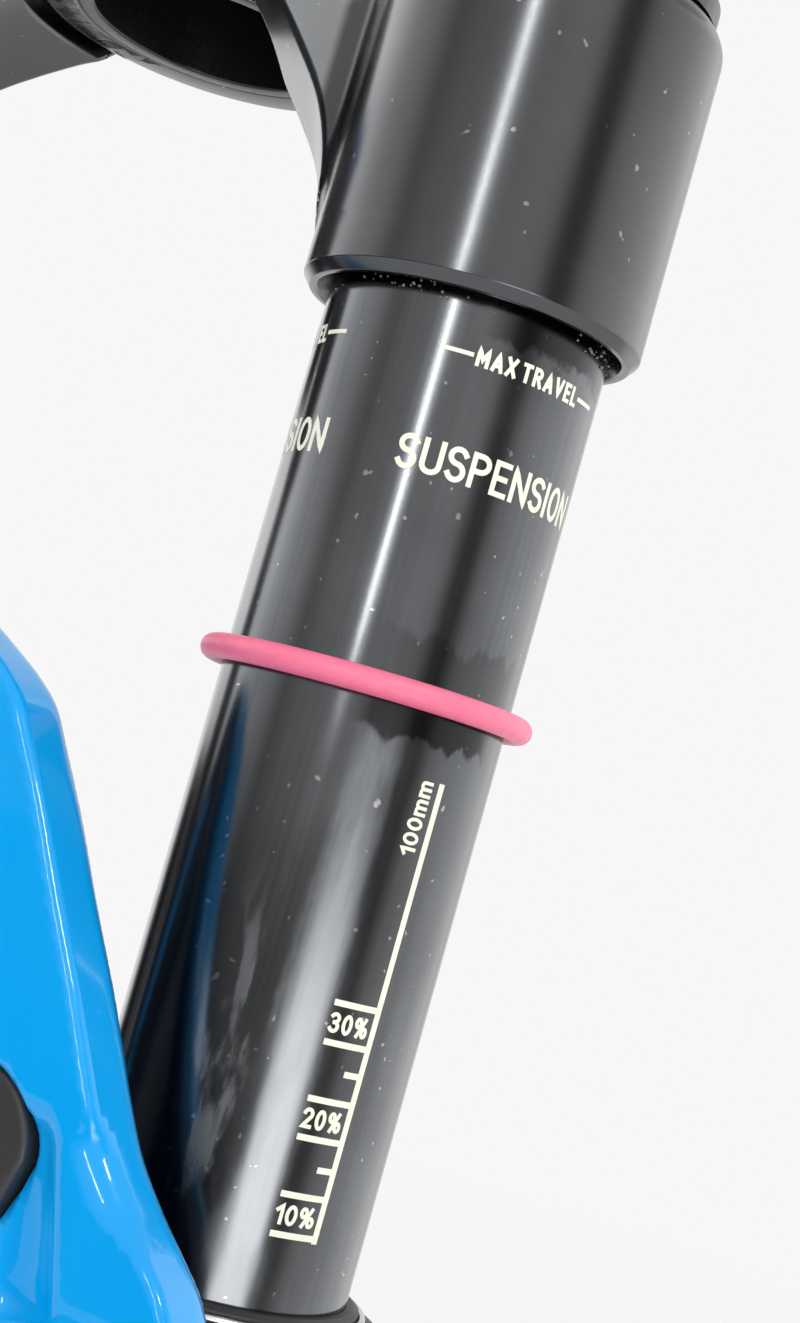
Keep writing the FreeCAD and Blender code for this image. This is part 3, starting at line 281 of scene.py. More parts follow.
def crown_finish():
    """Satin black anodising, with painted shade: near-black where each arm joins its socket."""
    shade = Shade("crown_black", Metallic=1.0)
    fine = shade.noise(2600.0, detail=3.0)
    cloud = shade.noise(60.0, detail=4.0)
    mixed = shade.sum("ADD", shade.sum("MULTIPLY", cloud, 0.6), shade.sum("MULTIPLY", fine, 0.4))
    base = shade.blend(shade.remap(mixed, 0.3, 0.7), rgb(0.082, 0.085, 0.088), rgb(0.100, 0.103, 0.107))
    speck = shade.remap(shade.noise(700.0, detail=1.0), 0.755, 0.775)
    base = shade.blend(shade.sum("MULTIPLY", speck, 0.5), base, rgb(0.45, 0.45, 0.44))
    across = shade.sum("SUBTRACT", shade.sum("ABSOLUTE", shade.axis("X")), LEG_X * MM)
    back = shade.sum("SUBTRACT", shade.axis("Y"), LEG_Y * MM)
    reach = shade.sum("MULTIPLY", shade.length(across, back), 1 / MM)
    # Painted shade: a near-black band round each socket where the arm joins it.
    painted_crease_shade = shade.sum("MULTIPLY", shade.remap(reach, 19.45, 19.8),
                       shade.remap(reach, 24.6, 22.8, smooth=True))
    shade.colour(shade.blend(shade.sum("MULTIPLY", painted_crease_shade, 0.95), base, rgb(0.003, 0.003, 0.0035)))
    shade.roughness(shade.remap(mixed, 0.3, 0.7, 0.21, 0.17))
    shade.bump(fine, 0.0000025)
    return shade


def casting_finish():
    """Glossy blue paint with a slight orange peel. The arch's back, close to the tubes, is coloured dark navy as
    painted shade.
    """
    shade = Shade("casting_blue", Coat_Weight=0.6, Coat_Roughness=0.03, Specular_IOR_Level=0.1)
    cloud = shade.noise(22.0, detail=3.0)
    paint = shade.blend(cloud, rgb(0.0, 0.30, 0.73), rgb(0.0, 0.345, 0.80))
    # Painted shade: the back of the arch, facing the tubes, is coloured dark navy.
    rear = shade.sum("MULTIPLY", shade.remap(shade.axis("Y"), -0.0525, -0.0495),
                     shade.remap(rise_of(shade), -8, -2))
    painted_back_shade = shade.sum("MULTIPLY", rear, shade.remap(shade.axis("Y"), -0.030, -0.034))
    shade.colour(shade.blend(shade.sum("MULTIPLY", painted_back_shade, 0.92), paint, rgb(0.003, 0.015, 0.05)))
    shade.roughness(shade.remap(shade.noise(90.0, detail=5.0), 0.3, 0.7, 0.16, 0.26))
    shade.bump(shade.noise(260.0, detail=2.0), 0.00004)
    return shade


FINISHES = {
    "anodised_alloy": surface("anodised_alloy", rgb(0.20, 0.20, 0.21), 0.36, Metallic=1.0),
    "crown_black": crown_finish(),
    "stanchion_black": stanchion_finish(),
    "ring_rubber": surface("ring_rubber", rgb(0.84, 0.16, 0.28), 0.42, 700.0, 0.00002, 0.10,
                           Subsurface_Weight=0.1, Subsurface_Scale=0.001),
    "machined_alloy": surface("machined_alloy", rgb(0.62, 0.63, 0.65), 0.28, Metallic=1.0),
    "black_rubber": surface("black_rubber", rgb(0.020, 0.020, 0.020), 0.6),
    "seal_rubber": surface("seal_rubber", rgb(0.018, 0.018, 0.019), 0.5),
    "spring_steel": surface("spring_steel", rgb(0.55, 0.55, 0.56), 0.25, Metallic=1.0),
    "cap_black": surface("cap_black", rgb(0.045, 0.045, 0.050), 0.3, Metallic=0.9),
    "valve_brass": surface("valve_brass", rgb(0.62, 0.52, 0.30), 0.28, Metallic=1.0),
    "cap_plastic": surface("cap_plastic", rgb(0.020, 0.020, 0.021), 0.45, 1600.0, 0.00002),
    "spacer_plastic": surface("spacer_plastic", rgb(0.70, 0.17, 0.03), 0.45),
    "piston_plastic": surface("piston_plastic", rgb(0.80, 0.79, 0.73), 0.45),
    "knob_blue": surface("knob_blue", rgb(0.02, 0.14, 0.50), 0.28, Metallic=1.0),
    "knob_red": surface("knob_red", rgb(0.55, 0.02, 0.02), 0.28, Metallic=1.0),
    "fastener_black": surface("fastener_black", rgb(0.06, 0.06, 0.06), 0.4, Metallic=1.0),
    "washer_alloy": surface("washer_alloy", rgb(0.72, 0.72, 0.73), 0.35, Metallic=1.0),
    "foam": surface("foam", rgb(0.10, 0.10, 0.10), 0.9, 1500.0, 0.0001),
    "bushing": surface("bushing", rgb(0.45, 0.36, 0.26), 0.4, Metallic=1.0),
    "casting_blue": casting_finish(),
}
PRINT = surface("print_cream", rgb(0.80, 0.79, 0.66), 0.5, 4000.0, 0.000004, 0.10)
GRIT = surface("grit", rgb(0.26, 0.25, 0.23), 0.8, 5000.0)
MACHINED_CASTING = surface("bare_magnesium", rgb(0.55, 0.56, 0.58), 0.33, Metallic=1.0)


def dress_cad_nodes():
    """Give every carried-over CAD node the finish of its slot."""
    slot_of = {part["node"]: part["material_slot"] for part in frame["record"]["subparts"]}
    for name, item in frame["nodes"].items():
        item.data.materials.clear()
        item.data.materials.append(FINISHES[slot_of[name]].material)


dress_cad_nodes()


# ---------------------------------------------------------------- mesh making

def finish_piece(mesh, name, body, slot, shade=None, replaces=()):
    """Put a mesh in the scene as a piece that rides on a body."""
    mesh.materials.append((shade or FINISHES[slot]).material)
    piece = linked(name, mesh)
    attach(piece, body)
    if replaces:
        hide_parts(*replaces)
    return piece


def mesh_of(name, points, faces):
    """A smooth-shaded mesh from points in millimetres and faces with the same number of corners."""
    points = np.asarray(points, float) * MM
    faces = np.asarray(faces, np.int32)
    mesh = bpy.data.meshes.new(name)
    mesh.vertices.add(len(points))
    mesh.vertices.foreach_set("co", points.astype(np.float32).ravel())
    mesh.loops.add(faces.size)
    mesh.loops.foreach_set("vertex_index", faces.ravel())
    mesh.polygons.add(len(faces))
    mesh.polygons.foreach_set("loop_start", np.arange(0, faces.size, faces.shape[1], dtype=np.int32))
    mesh.polygons.foreach_set("use_smooth", np.ones(len(faces), bool))
    mesh.update(calc_edges=True)
    return mesh


FILLET_STEPS = 4
SEGMENTS = 160          # round a turned piece
SHARP = 32.0            # degrees: a steeper edge of a turned piece stays sharp


def fillet(profile):
    """Round a closed profile's corners: each entry is (radius, height) or (radius, height, fillet)."""
    corners = [Vector(p[:2]) for p in profile]
    out = []
    for i, corner in enumerate(corners):
        size = profile[i][2] if len(profile[i]) > 2 else 0.0
        if size == 0.0:
            out.append(tuple(corner))
            continue
        before = (corners[i - 1] - corner).normalized()
        after = (corners[(i + 1) % len(corners)] - corner).normalized()
        half = before.angle(after) / 2
        start = corner + before * (size / math.tan(half))
        end = corner + after * (size / math.tan(half))
        centre = corner + (before + after).normalized() * (size / math.sin(half))
        for k in range(FILLET_STEPS + 1):
            spoke = (start - centre).lerp(end - centre, k / FILLET_STEPS).normalized() * size
            out.append(tuple(centre + spoke))
    return out


def turned_mesh(name, profile):
    """A closed (radius, height) profile turned about the Z axis through the origin."""
    ring = fillet(profile)
    angle = np.arange(SEGMENTS) * 2 * math.pi / SEGMENTS
    radius = np.array([p[0] for p in ring])
    height = np.array([p[1] for p in ring])
    points = np.stack([
        radius[:, None] * np.cos(angle),
        radius[:, None] * np.sin(angle),
        np.repeat(height[:, None], SEGMENTS, 1),
    ], -1).reshape(-1, 3)
    count = len(ring)
    i = np.repeat(np.arange(count), SEGMENTS)
    j = np.tile(np.arange(SEGMENTS), count)
    i2 = (i + 1) % count
    j2 = (j + 1) % SEGMENTS
    faces = np.stack([i * SEGMENTS + j, i2 * SEGMENTS + j, i2 * SEGMENTS + j2, i * SEGMENTS + j2], -1)
    mesh = mesh_of(name, points, faces)
    work = bmesh.new()
    work.from_mesh(mesh)
    bmesh.ops.remove_doubles(work, verts=work.verts, dist=0.0000005)
    bmesh.ops.recalc_face_normals(work, faces=work.faces)
    work.to_mesh(mesh)
    work.free()
    mesh.set_sharp_from_angle(angle=math.radians(SHARP))
    return mesh


def turned(name, profile, place, body, slot, turn=None, **rest):
    """A turned piece standing at place; turn lays its own +Z along another direction."""
    mesh = turned_mesh(name, profile)
    matrix = Matrix.Translation(Vector(place) * MM)
    if turn is not None:
        matrix = matrix @ Vector(turn).to_track_quat("Z", "Y").to_matrix().to_4x4()
    mesh.transform(matrix)
    return finish_piece(mesh, name, body, slot, **rest)


# ---------------------------------------------------------------- distance fields for castings and forgings

def join(a, b, radius):
    """Union of two distances with a fillet."""
    u = np.maximum(radius - a, 0)
    v = np.maximum(radius - b, 0)
    return np.maximum(radius, np.minimum(a, b)) - np.hypot(u, v)


def meet(a, b, radius):
    """Intersection of two distances with a rounded edge."""
    u = np.maximum(radius + a, 0)
    v = np.maximum(radius + b, 0)
    return np.minimum(-radius, np.maximum(a, b)) + np.hypot(u, v)


def carve(a, tool, radius):
    """Distance a with the tool's distance taken away."""
    return meet(a, -tool, radius)


def through(points, steps):
    """A closed smooth curve through the points, as many short runs."""
    knots = np.array(points, float)
    t = np.linspace(0, 1, steps, endpoint=False)[:, None]
    out = []
    for i in range(len(knots)):
        p0, p1, p2, p3 = (knots[(i + k) % len(knots)] for k in (-1, 0, 1, 2))
        out.append(0.5 * (2 * p1 + (p2 - p0) * t + (2 * p0 - 5 * p1 + 4 * p2 - p3) * t ** 2
                          + (3 * p1 - p0 - 3 * p2 + p3) * t ** 3))
    return np.concatenate(out)


def outline_distance(outline, u, v):
    """Signed distance from (u, v) to a closed outline, negative inside."""
    best = None
    inside = None
    for (ax, ay), (bx, by) in zip(outline, np.roll(outline, -1, 0)):
        ex, ey = bx - ax, by - ay
        wx, wy = u - ax, v - ay
        t = np.clip((wx * ex + wy * ey) / (ex * ex + ey * ey), 0, 1)
        gap = (wx - ex * t) ** 2 + (wy - ey * t) ** 2
        best = gap if best is None else np.minimum(best, gap)
        if ay != by:
            crossing = ((ay > v) != (by > v)) & (u < (bx - ax) * (v - ay) / (by - ay) + ax)
            inside = crossing if inside is None else inside ^ crossing
    return np.where(inside, -1.0, 1.0) * np.sqrt(best)


SLAB = 24               # layers or millimetres worked on at a time, so that far features are skipped


STEP = 0.05             # for the slope of a distance
LEAST_SLOPE = 0.2       # a flatter distance isn't trusted to move a point


def settled(distance, points, voxel):
    """Points moved onto the zero surface, with the normals there."""
    for settle in range(3):
        value = distance(*points.T)
        slope = np.stack([
            distance(*(points + np.eye(3)[k] * STEP).T) - distance(*(points - np.eye(3)[k] * STEP).T)
            for k in range(3)
        ], -1) / (2 * STEP)
        length = np.maximum(np.linalg.norm(slope, axis=1, keepdims=True), LEAST_SLOPE)
        if settle < 2:
            points = points - slope / length * np.clip(value[:, None] / length, -voxel / 2, voxel / 2)
    return points, slope / np.maximum(np.linalg.norm(slope, axis=1, keepdims=True), 1e-6)


def casting(name, distance, lowest, highest, voxel, body, slot, **rest):
    """A mesh on the zero surface of a distance function, with normals from the function itself."""
    xs, ys, zs = (np.arange(a, b + voxel, voxel, dtype=np.float32) for a, b in zip(lowest, highest))
    field = np.concatenate([
        np.broadcast_to(distance(xs[:, None, None], ys[None, :, None], zs[None, None, k:k + SLAB]),
                        (len(xs), len(ys), len(zs[k:k + SLAB])))
        for k in range(0, len(zs), SLAB)
    ], 2)
    reach = 3 * voxel
    grid = openvdb.FloatGrid(reach)
    grid.copyFromArray(np.ascontiguousarray(np.clip(field, -reach, reach), dtype=np.float32))
    points, faces = grid.convertToQuads(isovalue=0.0)
    points = points.astype(float) * voxel + np.array(lowest, float)
    normals = np.zeros_like(points)
    layer = np.floor(points[:, 2] / SLAB)
    for level in np.unique(layer):
        chosen = layer == level
        points[chosen], normals[chosen] = settled(distance, points[chosen], voxel)
    a, b, c = points[faces[:, 0]], points[faces[:, 1]], points[faces[:, 2]]
    facing = np.einsum("ij,ij->i", np.cross(b - a, c - a), normals[faces[:, 0]])
    if facing.sum() < 0:
        faces = faces[:, ::-1]
    mesh = mesh_of(name, points, faces)
    mesh.normals_split_custom_set_from_vertices(normals.tolist())
    return finish_piece(mesh, name, body, slot, **rest)


# ---------------------------------------------------------------- crown

REACH = math.hypot(LEG_X, LEG_Y)
ALONG = (LEG_X / REACH, LEG_Y / REACH)
HUB_R = 25.0
HUB_BORE_R = 19.8
RIM_HEIGHT = 1.4        # the hub's last bit is the turned rim
GROOVE_HALF = 1.2       # half the width of the groove round the hub's rim
GROOVE_DEPTH = 2.5
RELIEF_SLOPE = 0.5      # how the arms rise from the hub's underside, so that the rim stands free
RELIEF_CURVE = 0.055
SOCKET_R = 19.35
SOCKET_TOP = -34.0
SOCKET_BORE_R = 16.6
SPOT_FACE_R = 19.0      # cleared above each socket for its top cap
LIP_HEIGHT = 1.8        # the socket's last bit is the turned lip
ARM_KEEL = through([
    (-10, -33.4), (8, -33.4), (17.9, -33.9), (21.2, -34.6), (24, -35.6), (27, -37.2), (31, -40.0),
    (35.4, -43.8), (42, -49.9), (47.9, -55.9), (50.8, -60.5), (52.2, -65), (53.8, -68.6), (57, -70.2),
    (62, -70.4), (80, -69.6), (82, -20), (60, 6), (20, 8), (-10, 8),
], 4)
ARM_TOP_HUB = -7.0      # heights of the arm's back, at the hub and at the socket
ARM_TOP_SOCKET = -34.5
ARM_HALF = 16.0
ARM_FLARE = 7.0         # extra width of the arm's rear side at the hub
KEEL_HALF = 9.0
BEVEL_INSET = 9.0


def ease(value, start, end):
    """A smooth step from 0 at start to 1 at end."""
    t = np.clip((value - start) / (end - start), 0, 1)
    return t * t * (3 - 2 * t)


def crown_distance(x, y, z):
    """The hub, and on each side an arm and a socket; s runs out along the arm."""
    across = np.abs(x)
    s = ALONG[0] * across + ALONG[1] * y
    aside = ALONG[0] * y - ALONG[1] * across
    half = np.maximum(-aside, aside - ARM_FLARE * ease(s, 46, 24))
    keel = outline_distance(ARM_KEEL, s, z)
    run = ARM_HALF - KEEL_HALF
    bevel = (run * keel + BEVEL_INSET * (half - KEEL_HALF)) / math.hypot(run, BEVEL_INSET)
    arm = meet(meet(keel, bevel, 0.8), half - ARM_HALF, 0.6)
    top = ARM_TOP_HUB + (ARM_TOP_SOCKET - ARM_TOP_HUB) * ease(s, 20, 56)
    arm = meet(arm, (z - top) * 0.75, 4.0)
    arm = np.maximum(arm, s - REACH)
    round_leg = np.hypot(across - LEG_X, y - LEG_Y)
    socket = meet(round_leg - SOCKET_R, z - SOCKET_TOP, 3.5)
    socket = np.maximum(socket, LIP + LIP_HEIGHT - z)
    round_hub = np.hypot(x, y)
    hub = meet(round_hub - HUB_R, z, 1.6)
    hub = np.maximum(hub, HUB_UNDER + RIM_HEIGHT - z)
    beyond = np.maximum(round_hub - HUB_R, 0)
    relief = HUB_UNDER - RELIEF_SLOPE * beyond - RELIEF_CURVE * beyond ** 2 - z
    arm = meet(arm, relief / np.hypot(1, RELIEF_SLOPE + 2 * RELIEF_CURVE * beyond), 1.0)
    solid = join(join(arm, hub, 1.0), socket, 1.5)
    groove = np.maximum(np.abs(round_hub - HUB_R - GROOVE_HALF) - GROOVE_HALF, z - HUB_UNDER - GROOVE_DEPTH)
    solid = carve(solid, groove, 0.4)
    solid = carve(solid, np.maximum(round_leg - SPOT_FACE_R, SOCKET_TOP - z), 0.7)
    solid = np.maximum(solid, HUB_BORE_R - round_hub)
    return np.maximum(solid, SOCKET_BORE_R - round_leg)


def make_crown():
    casting("crown_forging", crown_distance, (-92, -53, -76), (92, 28, 3), 0.65, "uppers", "crown_black",
            replaces=["crown"])
    turned("crown_hub_rim", [
        (19.52, -6), (19.52, 0, 0.3), (HUB_R, 0, 0.8), (HUB_R + 0.02, -6),
    ], (0, 0, HUB_UNDER), "uppers", "crown_black", turn=(0, 0, -1))
    for leg, side in SIDES.items():
        turned(f"crown_{leg}_lip", [
            (16.06, 9), (16.06, 3.2, 0.4), (17.5, 0.2, 0.2), (17.7, 0, 0.15), (18.4, 0, 0.2),
            (SOCKET_R + 0.02, 1.2, 0.3), (SOCKET_R + 0.02, 6.2), (SOCKET_R - 0.3, 9),
        ], (side * LEG_X, LEG_Y, LIP), "uppers", "crown_black")


make_crown()


# ---------------------------------------------------------------- steerer, stanchions, ring

def make_steerer():
    top = high("steerer_tube").z
    turned("steerer", [
        (17.0, HUB_UNDER, 0.4), (19.5, HUB_UNDER, 0.3), (19.5, -0.1), (19.9, -0.1, 0.1), (19.9, 6, 0.5),
        (19.05, 6.4, 0.2), (19.05, 25, 12), (14.3, 85, 30), (14.3, top, 0.6), (12.2, top, 0.4), (12.2, 85, 20),
        (17.0, 25, 12),
    ], (0, 0, 0), "uppers", "anodised_alloy", replaces=["steerer_tube"], shade=FINISHES["cap_black"])


STANCHION_WALL = 1.7


def make_stanchions():
    for leg, side in SIDES.items():
        bottom = low(f"{leg}_stanchion").z
        top = high(f"{leg}_stanchion").z
        turned(f"stanchion_{leg}", [
            (TUBE_R - STANCHION_WALL, bottom, 0.3), (TUBE_R, bottom, 0.5),
            (TUBE_R, top, 0.5), (TUBE_R - STANCHION_WALL, top, 0.3),
        ], (side * LEG_X, LEG_Y, 0), "uppers", "stanchion_black", replaces=[f"{leg}_stanchion"])


RING_CLEAR = 0.04       # between the ring's rubber and the tube


def make_ring():
    middle = (high("sag_ring") + low("sag_ring")) / 2
    section = (high("sag_ring").z - low("sag_ring").z) / 2
    radius = TUBE_R + section + RING_CLEAR
    profile = [(radius + section * math.cos(a), section * math.sin(a))
               for a in np.linspace(0, 2 * math.pi, 28)[:-1]]
    turned("sag_ring_rubber", profile, middle, "sag_ring", "ring_rubber", replaces=["sag_ring"])


make_steerer()
make_stanchions()
make_ring()


# ---------------------------------------------------------------- prints on the air-side tube

VIEW_TURN = 29.6        # azimuth of the tube's printed middle, from the front towards the rider's left
PRINT_PROUD = 0.03
PITCH = 0.5             # longest flat run of a print, so that it can bend round the tube


def wrap(mesh, turn, rise):
    """Bend a flat mesh (x along the arc, y up, z outwards, in millimetres) round the air-side tube."""
    count = len(mesh.vertices)
    flat = np.zeros(count * 3, np.float32)
    mesh.vertices.foreach_get("co", flat)
    flat = flat.reshape(-1, 3).astype(float)
    angle = math.radians(turn) + flat[:, 0] / TUBE_R
    radius = TUBE_R + flat[:, 2]
    points = np.stack([
        LEG_X + radius * np.sin(angle),
        LEG_Y - radius * np.cos(angle),
        WIPER + rise + flat[:, 1],
    ], -1) * MM
    mesh.vertices.foreach_set("co", points.astype(np.float32).ravel())
    mesh.update()


def bow(x, y, rx, ry, start, end, steps=9):
    """Points on an arc of an ellipse, angles in degrees."""
    return [(x + rx * math.cos(a), y + ry * math.sin(a))
            for a in np.radians(np.linspace(start, end, steps))]


# Stroke letters of one unit's height: (width, strokes). A stroke that ends where it starts is closed.
GLYPHS = {
    "A": (0.56, [[(0, 0), (0.28, 1), (0.56, 0)], [(0.09, 0.27), (0.47, 0.27)]]),
    "E": (0.40, [[(0.40, 0), (0, 0), (0, 1), (0.40, 1)], [(0, 0.52), (0.34, 0.52)]]),
    "I": (0.01, [[(0, 0), (0, 1)]]),
    "L": (0.38, [[(0, 1), (0, 0), (0.38, 0)]]),
    "M": (0.62, [[(0, 0), (0, 1), (0.31, 0.30), (0.62, 1), (0.62, 0)]]),
    "N": (0.50, [[(0, 0), (0, 1), (0.50, 0), (0.50, 1)]]),
    "O": (0.50, [bow(0.25, 0.5, 0.25, 0.5, 90, 450, 25)]),
    "P": (0.46, [[(0, 0), (0, 1), (0.22, 1)] + bow(0.22, 0.74, 0.24, 0.26, 90, -90)[1:] + [(0, 0.48)]]),
    "R": (0.48, [[(0, 0), (0, 1), (0.22, 1)] + bow(0.22, 0.75, 0.24, 0.25, 90, -90)[1:] + [(0, 0.50)],
                 [(0.22, 0.50), (0.48, 0)]]),
    "S": (0.44, [bow(0.22, 0.76, 0.22, 0.24, 25, 250, 12) + bow(0.22, 0.26, 0.22, 0.26, 70, -155, 12)]),
    "T": (0.48, [[(0, 1), (0.48, 1)], [(0.24, 1), (0.24, 0)]]),
    "U": (0.48, [[(0, 1), (0, 0.25)] + bow(0.24, 0.25, 0.24, 0.25, 180, 360)[1:] + [(0.48, 1)]]),
    "V": (0.54, [[(0, 1), (0.27, 0), (0.54, 1)]]),
    "X": (0.52, [[(0, 0), (0.52, 1)], [(0, 1), (0.52, 0)]]),
    "0": (0.46, [bow(0.23, 0.5, 0.23, 0.5, 90, 450, 25)]),
    "1": (0.24, [[(0, 0.74), (0.24, 1), (0.24, 0)]]),
    "2": (0.46, [bow(0.23, 0.74, 0.23, 0.26, 165, -35, 11) + [(0, 0), (0.46, 0)]]),
    "3": (0.46, [bow(0.22, 0.76, 0.22, 0.24, 150, -90, 11), bow(0.22, 0.26, 0.24, 0.26, 90, -150, 11)]),
    "%": (0.74, [bow(0.15, 0.76, 0.15, 0.24, 90, 450, 17), bow(0.59, 0.24, 0.15, 0.24, 90, 450, 17),
                 [(0.16, 0), (0.58, 1)]]),
    "m": (0.66, [[(0, 0), (0, 0.70)], [(0, 0.50)] + bow(0.165, 0.53, 0.165, 0.17, 170, 0)[1:] + [(0.33, 0)],
                 [(0.33, 0.50)] + bow(0.495, 0.53, 0.165, 0.17, 170, 0)[1:] + [(0.66, 0)]]),
}
SHARPEST = 0.55         # limits how far the outer corner of a bend in a stroke reaches
LETTER_GAP = 1.6        # between letters and extra between words, in stroke widths
WORD_GAP = 0.9


def longer(start, end, extra):
    """The end of a run, moved on by a little more."""
    share = 1 + extra / math.dist(start, end)
    return start[0] + (end[0] - start[0]) * share, start[1] + (end[1] - start[1]) * share


def ribbon(stroke, thick):
    """A thin solid band along a flat stroke, with square ends: corner points, and faces of four."""
    closed = math.dist(stroke[0], stroke[-1]) < 1e-6
    if not closed:
        first, last = longer(stroke[1], stroke[0], thick / 2), longer(stroke[-2], stroke[-1], thick / 2)
        stroke = [first, *stroke[1:-1], last]
    path = []
    for a, b in zip(stroke[:-1], stroke[1:]):
        runs = max(1, math.ceil(math.dist(a, b) / PITCH))
        path += [(a[0] + (b[0] - a[0]) * k / runs, a[1] + (b[1] - a[1]) * k / runs) for k in range(runs)]
    path = np.array(path if closed else path + [stroke[-1]])
    before, after = np.roll(path, 1, 0), np.roll(path, -1, 0)
    if not closed:
        before[0], after[-1] = 2 * path[0] - path[1], 2 * path[-1] - path[-2]
    into = (path - before) / np.linalg.norm(path - before, axis=1, keepdims=True)
    out = (after - path) / np.linalg.norm(after - path, axis=1, keepdims=True)
    aside = np.stack([-(into + out)[:, 1], (into + out)[:, 0]], -1)
    aside /= np.maximum(np.linalg.norm(aside, axis=1, keepdims=True), 1e-6)
    mitre = thick / 2 / np.maximum(aside[:, 0] * -into[:, 1] + aside[:, 1] * into[:, 0], SHARPEST)[:, None]
    left, right = path + aside * mitre, path - aside * mitre
    corners = ((left, PRINT_PROUD), (right, PRINT_PROUD), (right, -PRINT_PROUD), (left, -PRINT_PROUD))
    points = np.concatenate([np.hstack([rail, np.full((len(path), 1), z)]) for rail, z in corners])
    count = len(path)
    faces = []
    for k in range(count if closed else count - 1):
        n = (k + 1) % count
        for side in range(4):
            a, b = side * count, (side + 1) % 4 * count
            faces.append((a + k, b + k, b + n, a + n))
    if not closed:
        faces += [(0, 3 * count, 2 * count, count), tuple(side * count + count - 1 for side in range(4))]
    return points, faces


def lettering(text, height, width, thick):
    """Flat stroke lettering of a given overall height and width, its middle at the origin."""
    gap, space = LETTER_GAP * thick, WORD_GAP * thick
    letters = [c for c in text if c != " "]
    fixed = gap * (len(letters) - 1) + space * text.count(" ")
    stretch = (width - thick - fixed) / sum(GLYPHS[c][0] for c in letters)
    start = -width / 2 + thick / 2
    points, faces = [], []
    for c in text:
        if c == " ":
            start += space
            continue
        for stroke in GLYPHS[c][1]:
            placed = [(start + x * stretch, (y - 0.5) * (height - thick)) for x, y in stroke]
            more, quads = ribbon(placed, thick)
            base = sum(len(p) for p in points)
            points.append(more)
            faces += [tuple(base + k for k in quad) for quad in quads]
        start += GLYPHS[c][0] * stretch + gap
    mesh = mesh_of("lettering", np.concatenate(points) / MM, faces)
    mesh.polygons.foreach_set("use_smooth", np.zeros(len(faces), bool))
    return mesh


def bar(width, height):
    """A flat printed bar, divided along its length so that it can bend."""
    columns = max(1, round(width / PITCH))
    work = bmesh.new()
    bmesh.ops.create_cube(work, size=1.0, matrix=Matrix.Diagonal((width, height, 2 * PRINT_PROUD, 1)))
    for k in range(1, columns):
        cut = Vector((-width / 2 + width * k / columns, 0, 0))
        bmesh.ops.bisect_plane(work, geom=work.verts[:] + work.edges[:] + work.faces[:], plane_co=cut,
                               plane_no=(1, 0, 0))
    return mesh_from(work, "bar")


def print_piece(name, marks):
    """Join wrapped marks, each (flat mesh, azimuth, rise), into one piece on the air-side tube."""
    work = bmesh.new()
    for mesh, turn, rise in marks:
        wrap(mesh, turn, rise)
        work.from_mesh(mesh)
        bpy.data.meshes.remove(mesh)
    finish_piece(mesh_from(work, name), name, "uppers", "stanchion_black", shade=PRINT)


def seen(angle):
    """Azimuth of a print placed by its angle from the printed middle."""
    return VIEW_TURN + angle


def arc(degrees):
    """Length round the tube, in millimetres."""
    return math.radians(degrees) * TUBE_R


SCALE_LINE = 0.65       # heights of the printed lines
LIMIT_LINE = 0.45
LIMIT_RISE = 99.9       # the maximum-travel line
WORD_RISE = 88.4
REPEATS = 3             # times that the bands are printed round the tube


def make_prints():
    scale = [(bar(arc(2.6), 48.8), seen(40.0), 31.9)]
    for rise in (32.0, 27.9, 22.0, 18.0, 12.1, 8.0):
        scale.append((bar(arc(19.0), SCALE_LINE), seen(29.9), rise))
    for rise in (25.0, 15.0):
        scale.append((bar(arc(6.6), SCALE_LINE), seen(35.6), rise))
    for text, rise in (("30%", 29.95), ("20%", 20.0), ("10%", 10.05)):
        scale.append((lettering(text, 2.15, arc(16.8), 0.40), seen(28.8), rise))
    along = lettering("100mm", 1.95, 7.9, 0.37)
    along.transform(Matrix.Rotation(math.radians(90), 4, "Z"))
    scale.append((along, seen(32.5), 52.2))
    print_piece("sag_scale_print", scale)
    bands = []
    for repeat in range(REPEATS):
        start = 360.0 / REPEATS * repeat
        bands.append((bar(arc(12.8), LIMIT_LINE), seen(-1.9 + start), LIMIT_RISE))
        bands.append((lettering("MAX TRAVEL", 2.1, arc(49.0), 0.42), seen(30.2 + start), LIMIT_RISE))
        bands.append((bar(arc(13.5), LIMIT_LINE), seen(62.4 + start), LIMIT_RISE))
        bands.append((lettering("SUSPENSION", 3.8, arc(88.0), 0.58), seen(30.5 + start), WORD_RISE))
    print_piece("travel_limit_print", bands)


make_prints()


# ---------------------------------------------------------------- grit caught under the crown's lip

GRAINS = 55
GRAIN_SIZE = (0.07, 0.26)
GRIT_RISE = (104.6, 106.6)      # at the mouth of the gap between the tube and the lip


def make_grit():
    chance = np.random.default_rng(7)
    work = bmesh.new()
    for _ in range(GRAINS):
        size = chance.uniform(*GRAIN_SIZE)
        turn = math.radians(VIEW_TURN + chance.choice([chance.normal(-22, 16), chance.normal(66, 12),
                                                       chance.uniform(0, 360)]))
        away = TUBE_R + 0.5 * size
        place = Vector((LEG_X + away * math.sin(turn), LEG_Y - away * math.cos(turn),
                        WIPER + chance.uniform(*GRIT_RISE)))
        shape = Matrix.Diagonal((*chance.uniform(0.5, 1.0, 3), 1))
        spin = Matrix.Rotation(chance.uniform(0, math.pi), 4, Vector(chance.normal(0, 1, 3)))
        bmesh.ops.create_icosphere(work, subdivisions=1, radius=size,
                                   matrix=Matrix.Scale(MM, 4) @ Matrix.Translation(place) @ spin @ shape)
    finish_piece(mesh_from(work, "lip_grit"), "lip_grit", "uppers", "stanchion_black", shade=GRIT)


make_grit()


# ---------------------------------------------------------------- lower legs

ARCH_FRONT = -59.0
ARCH_REAR = -49.0
COLLAR_TOP = WIPER - 3.45
LEG_END = WIPER - 313.0
LEG_BORE_R = 17.35
LEG_BORE_END = WIPER - 292.0
AXLE_HOLE_R = 9.0
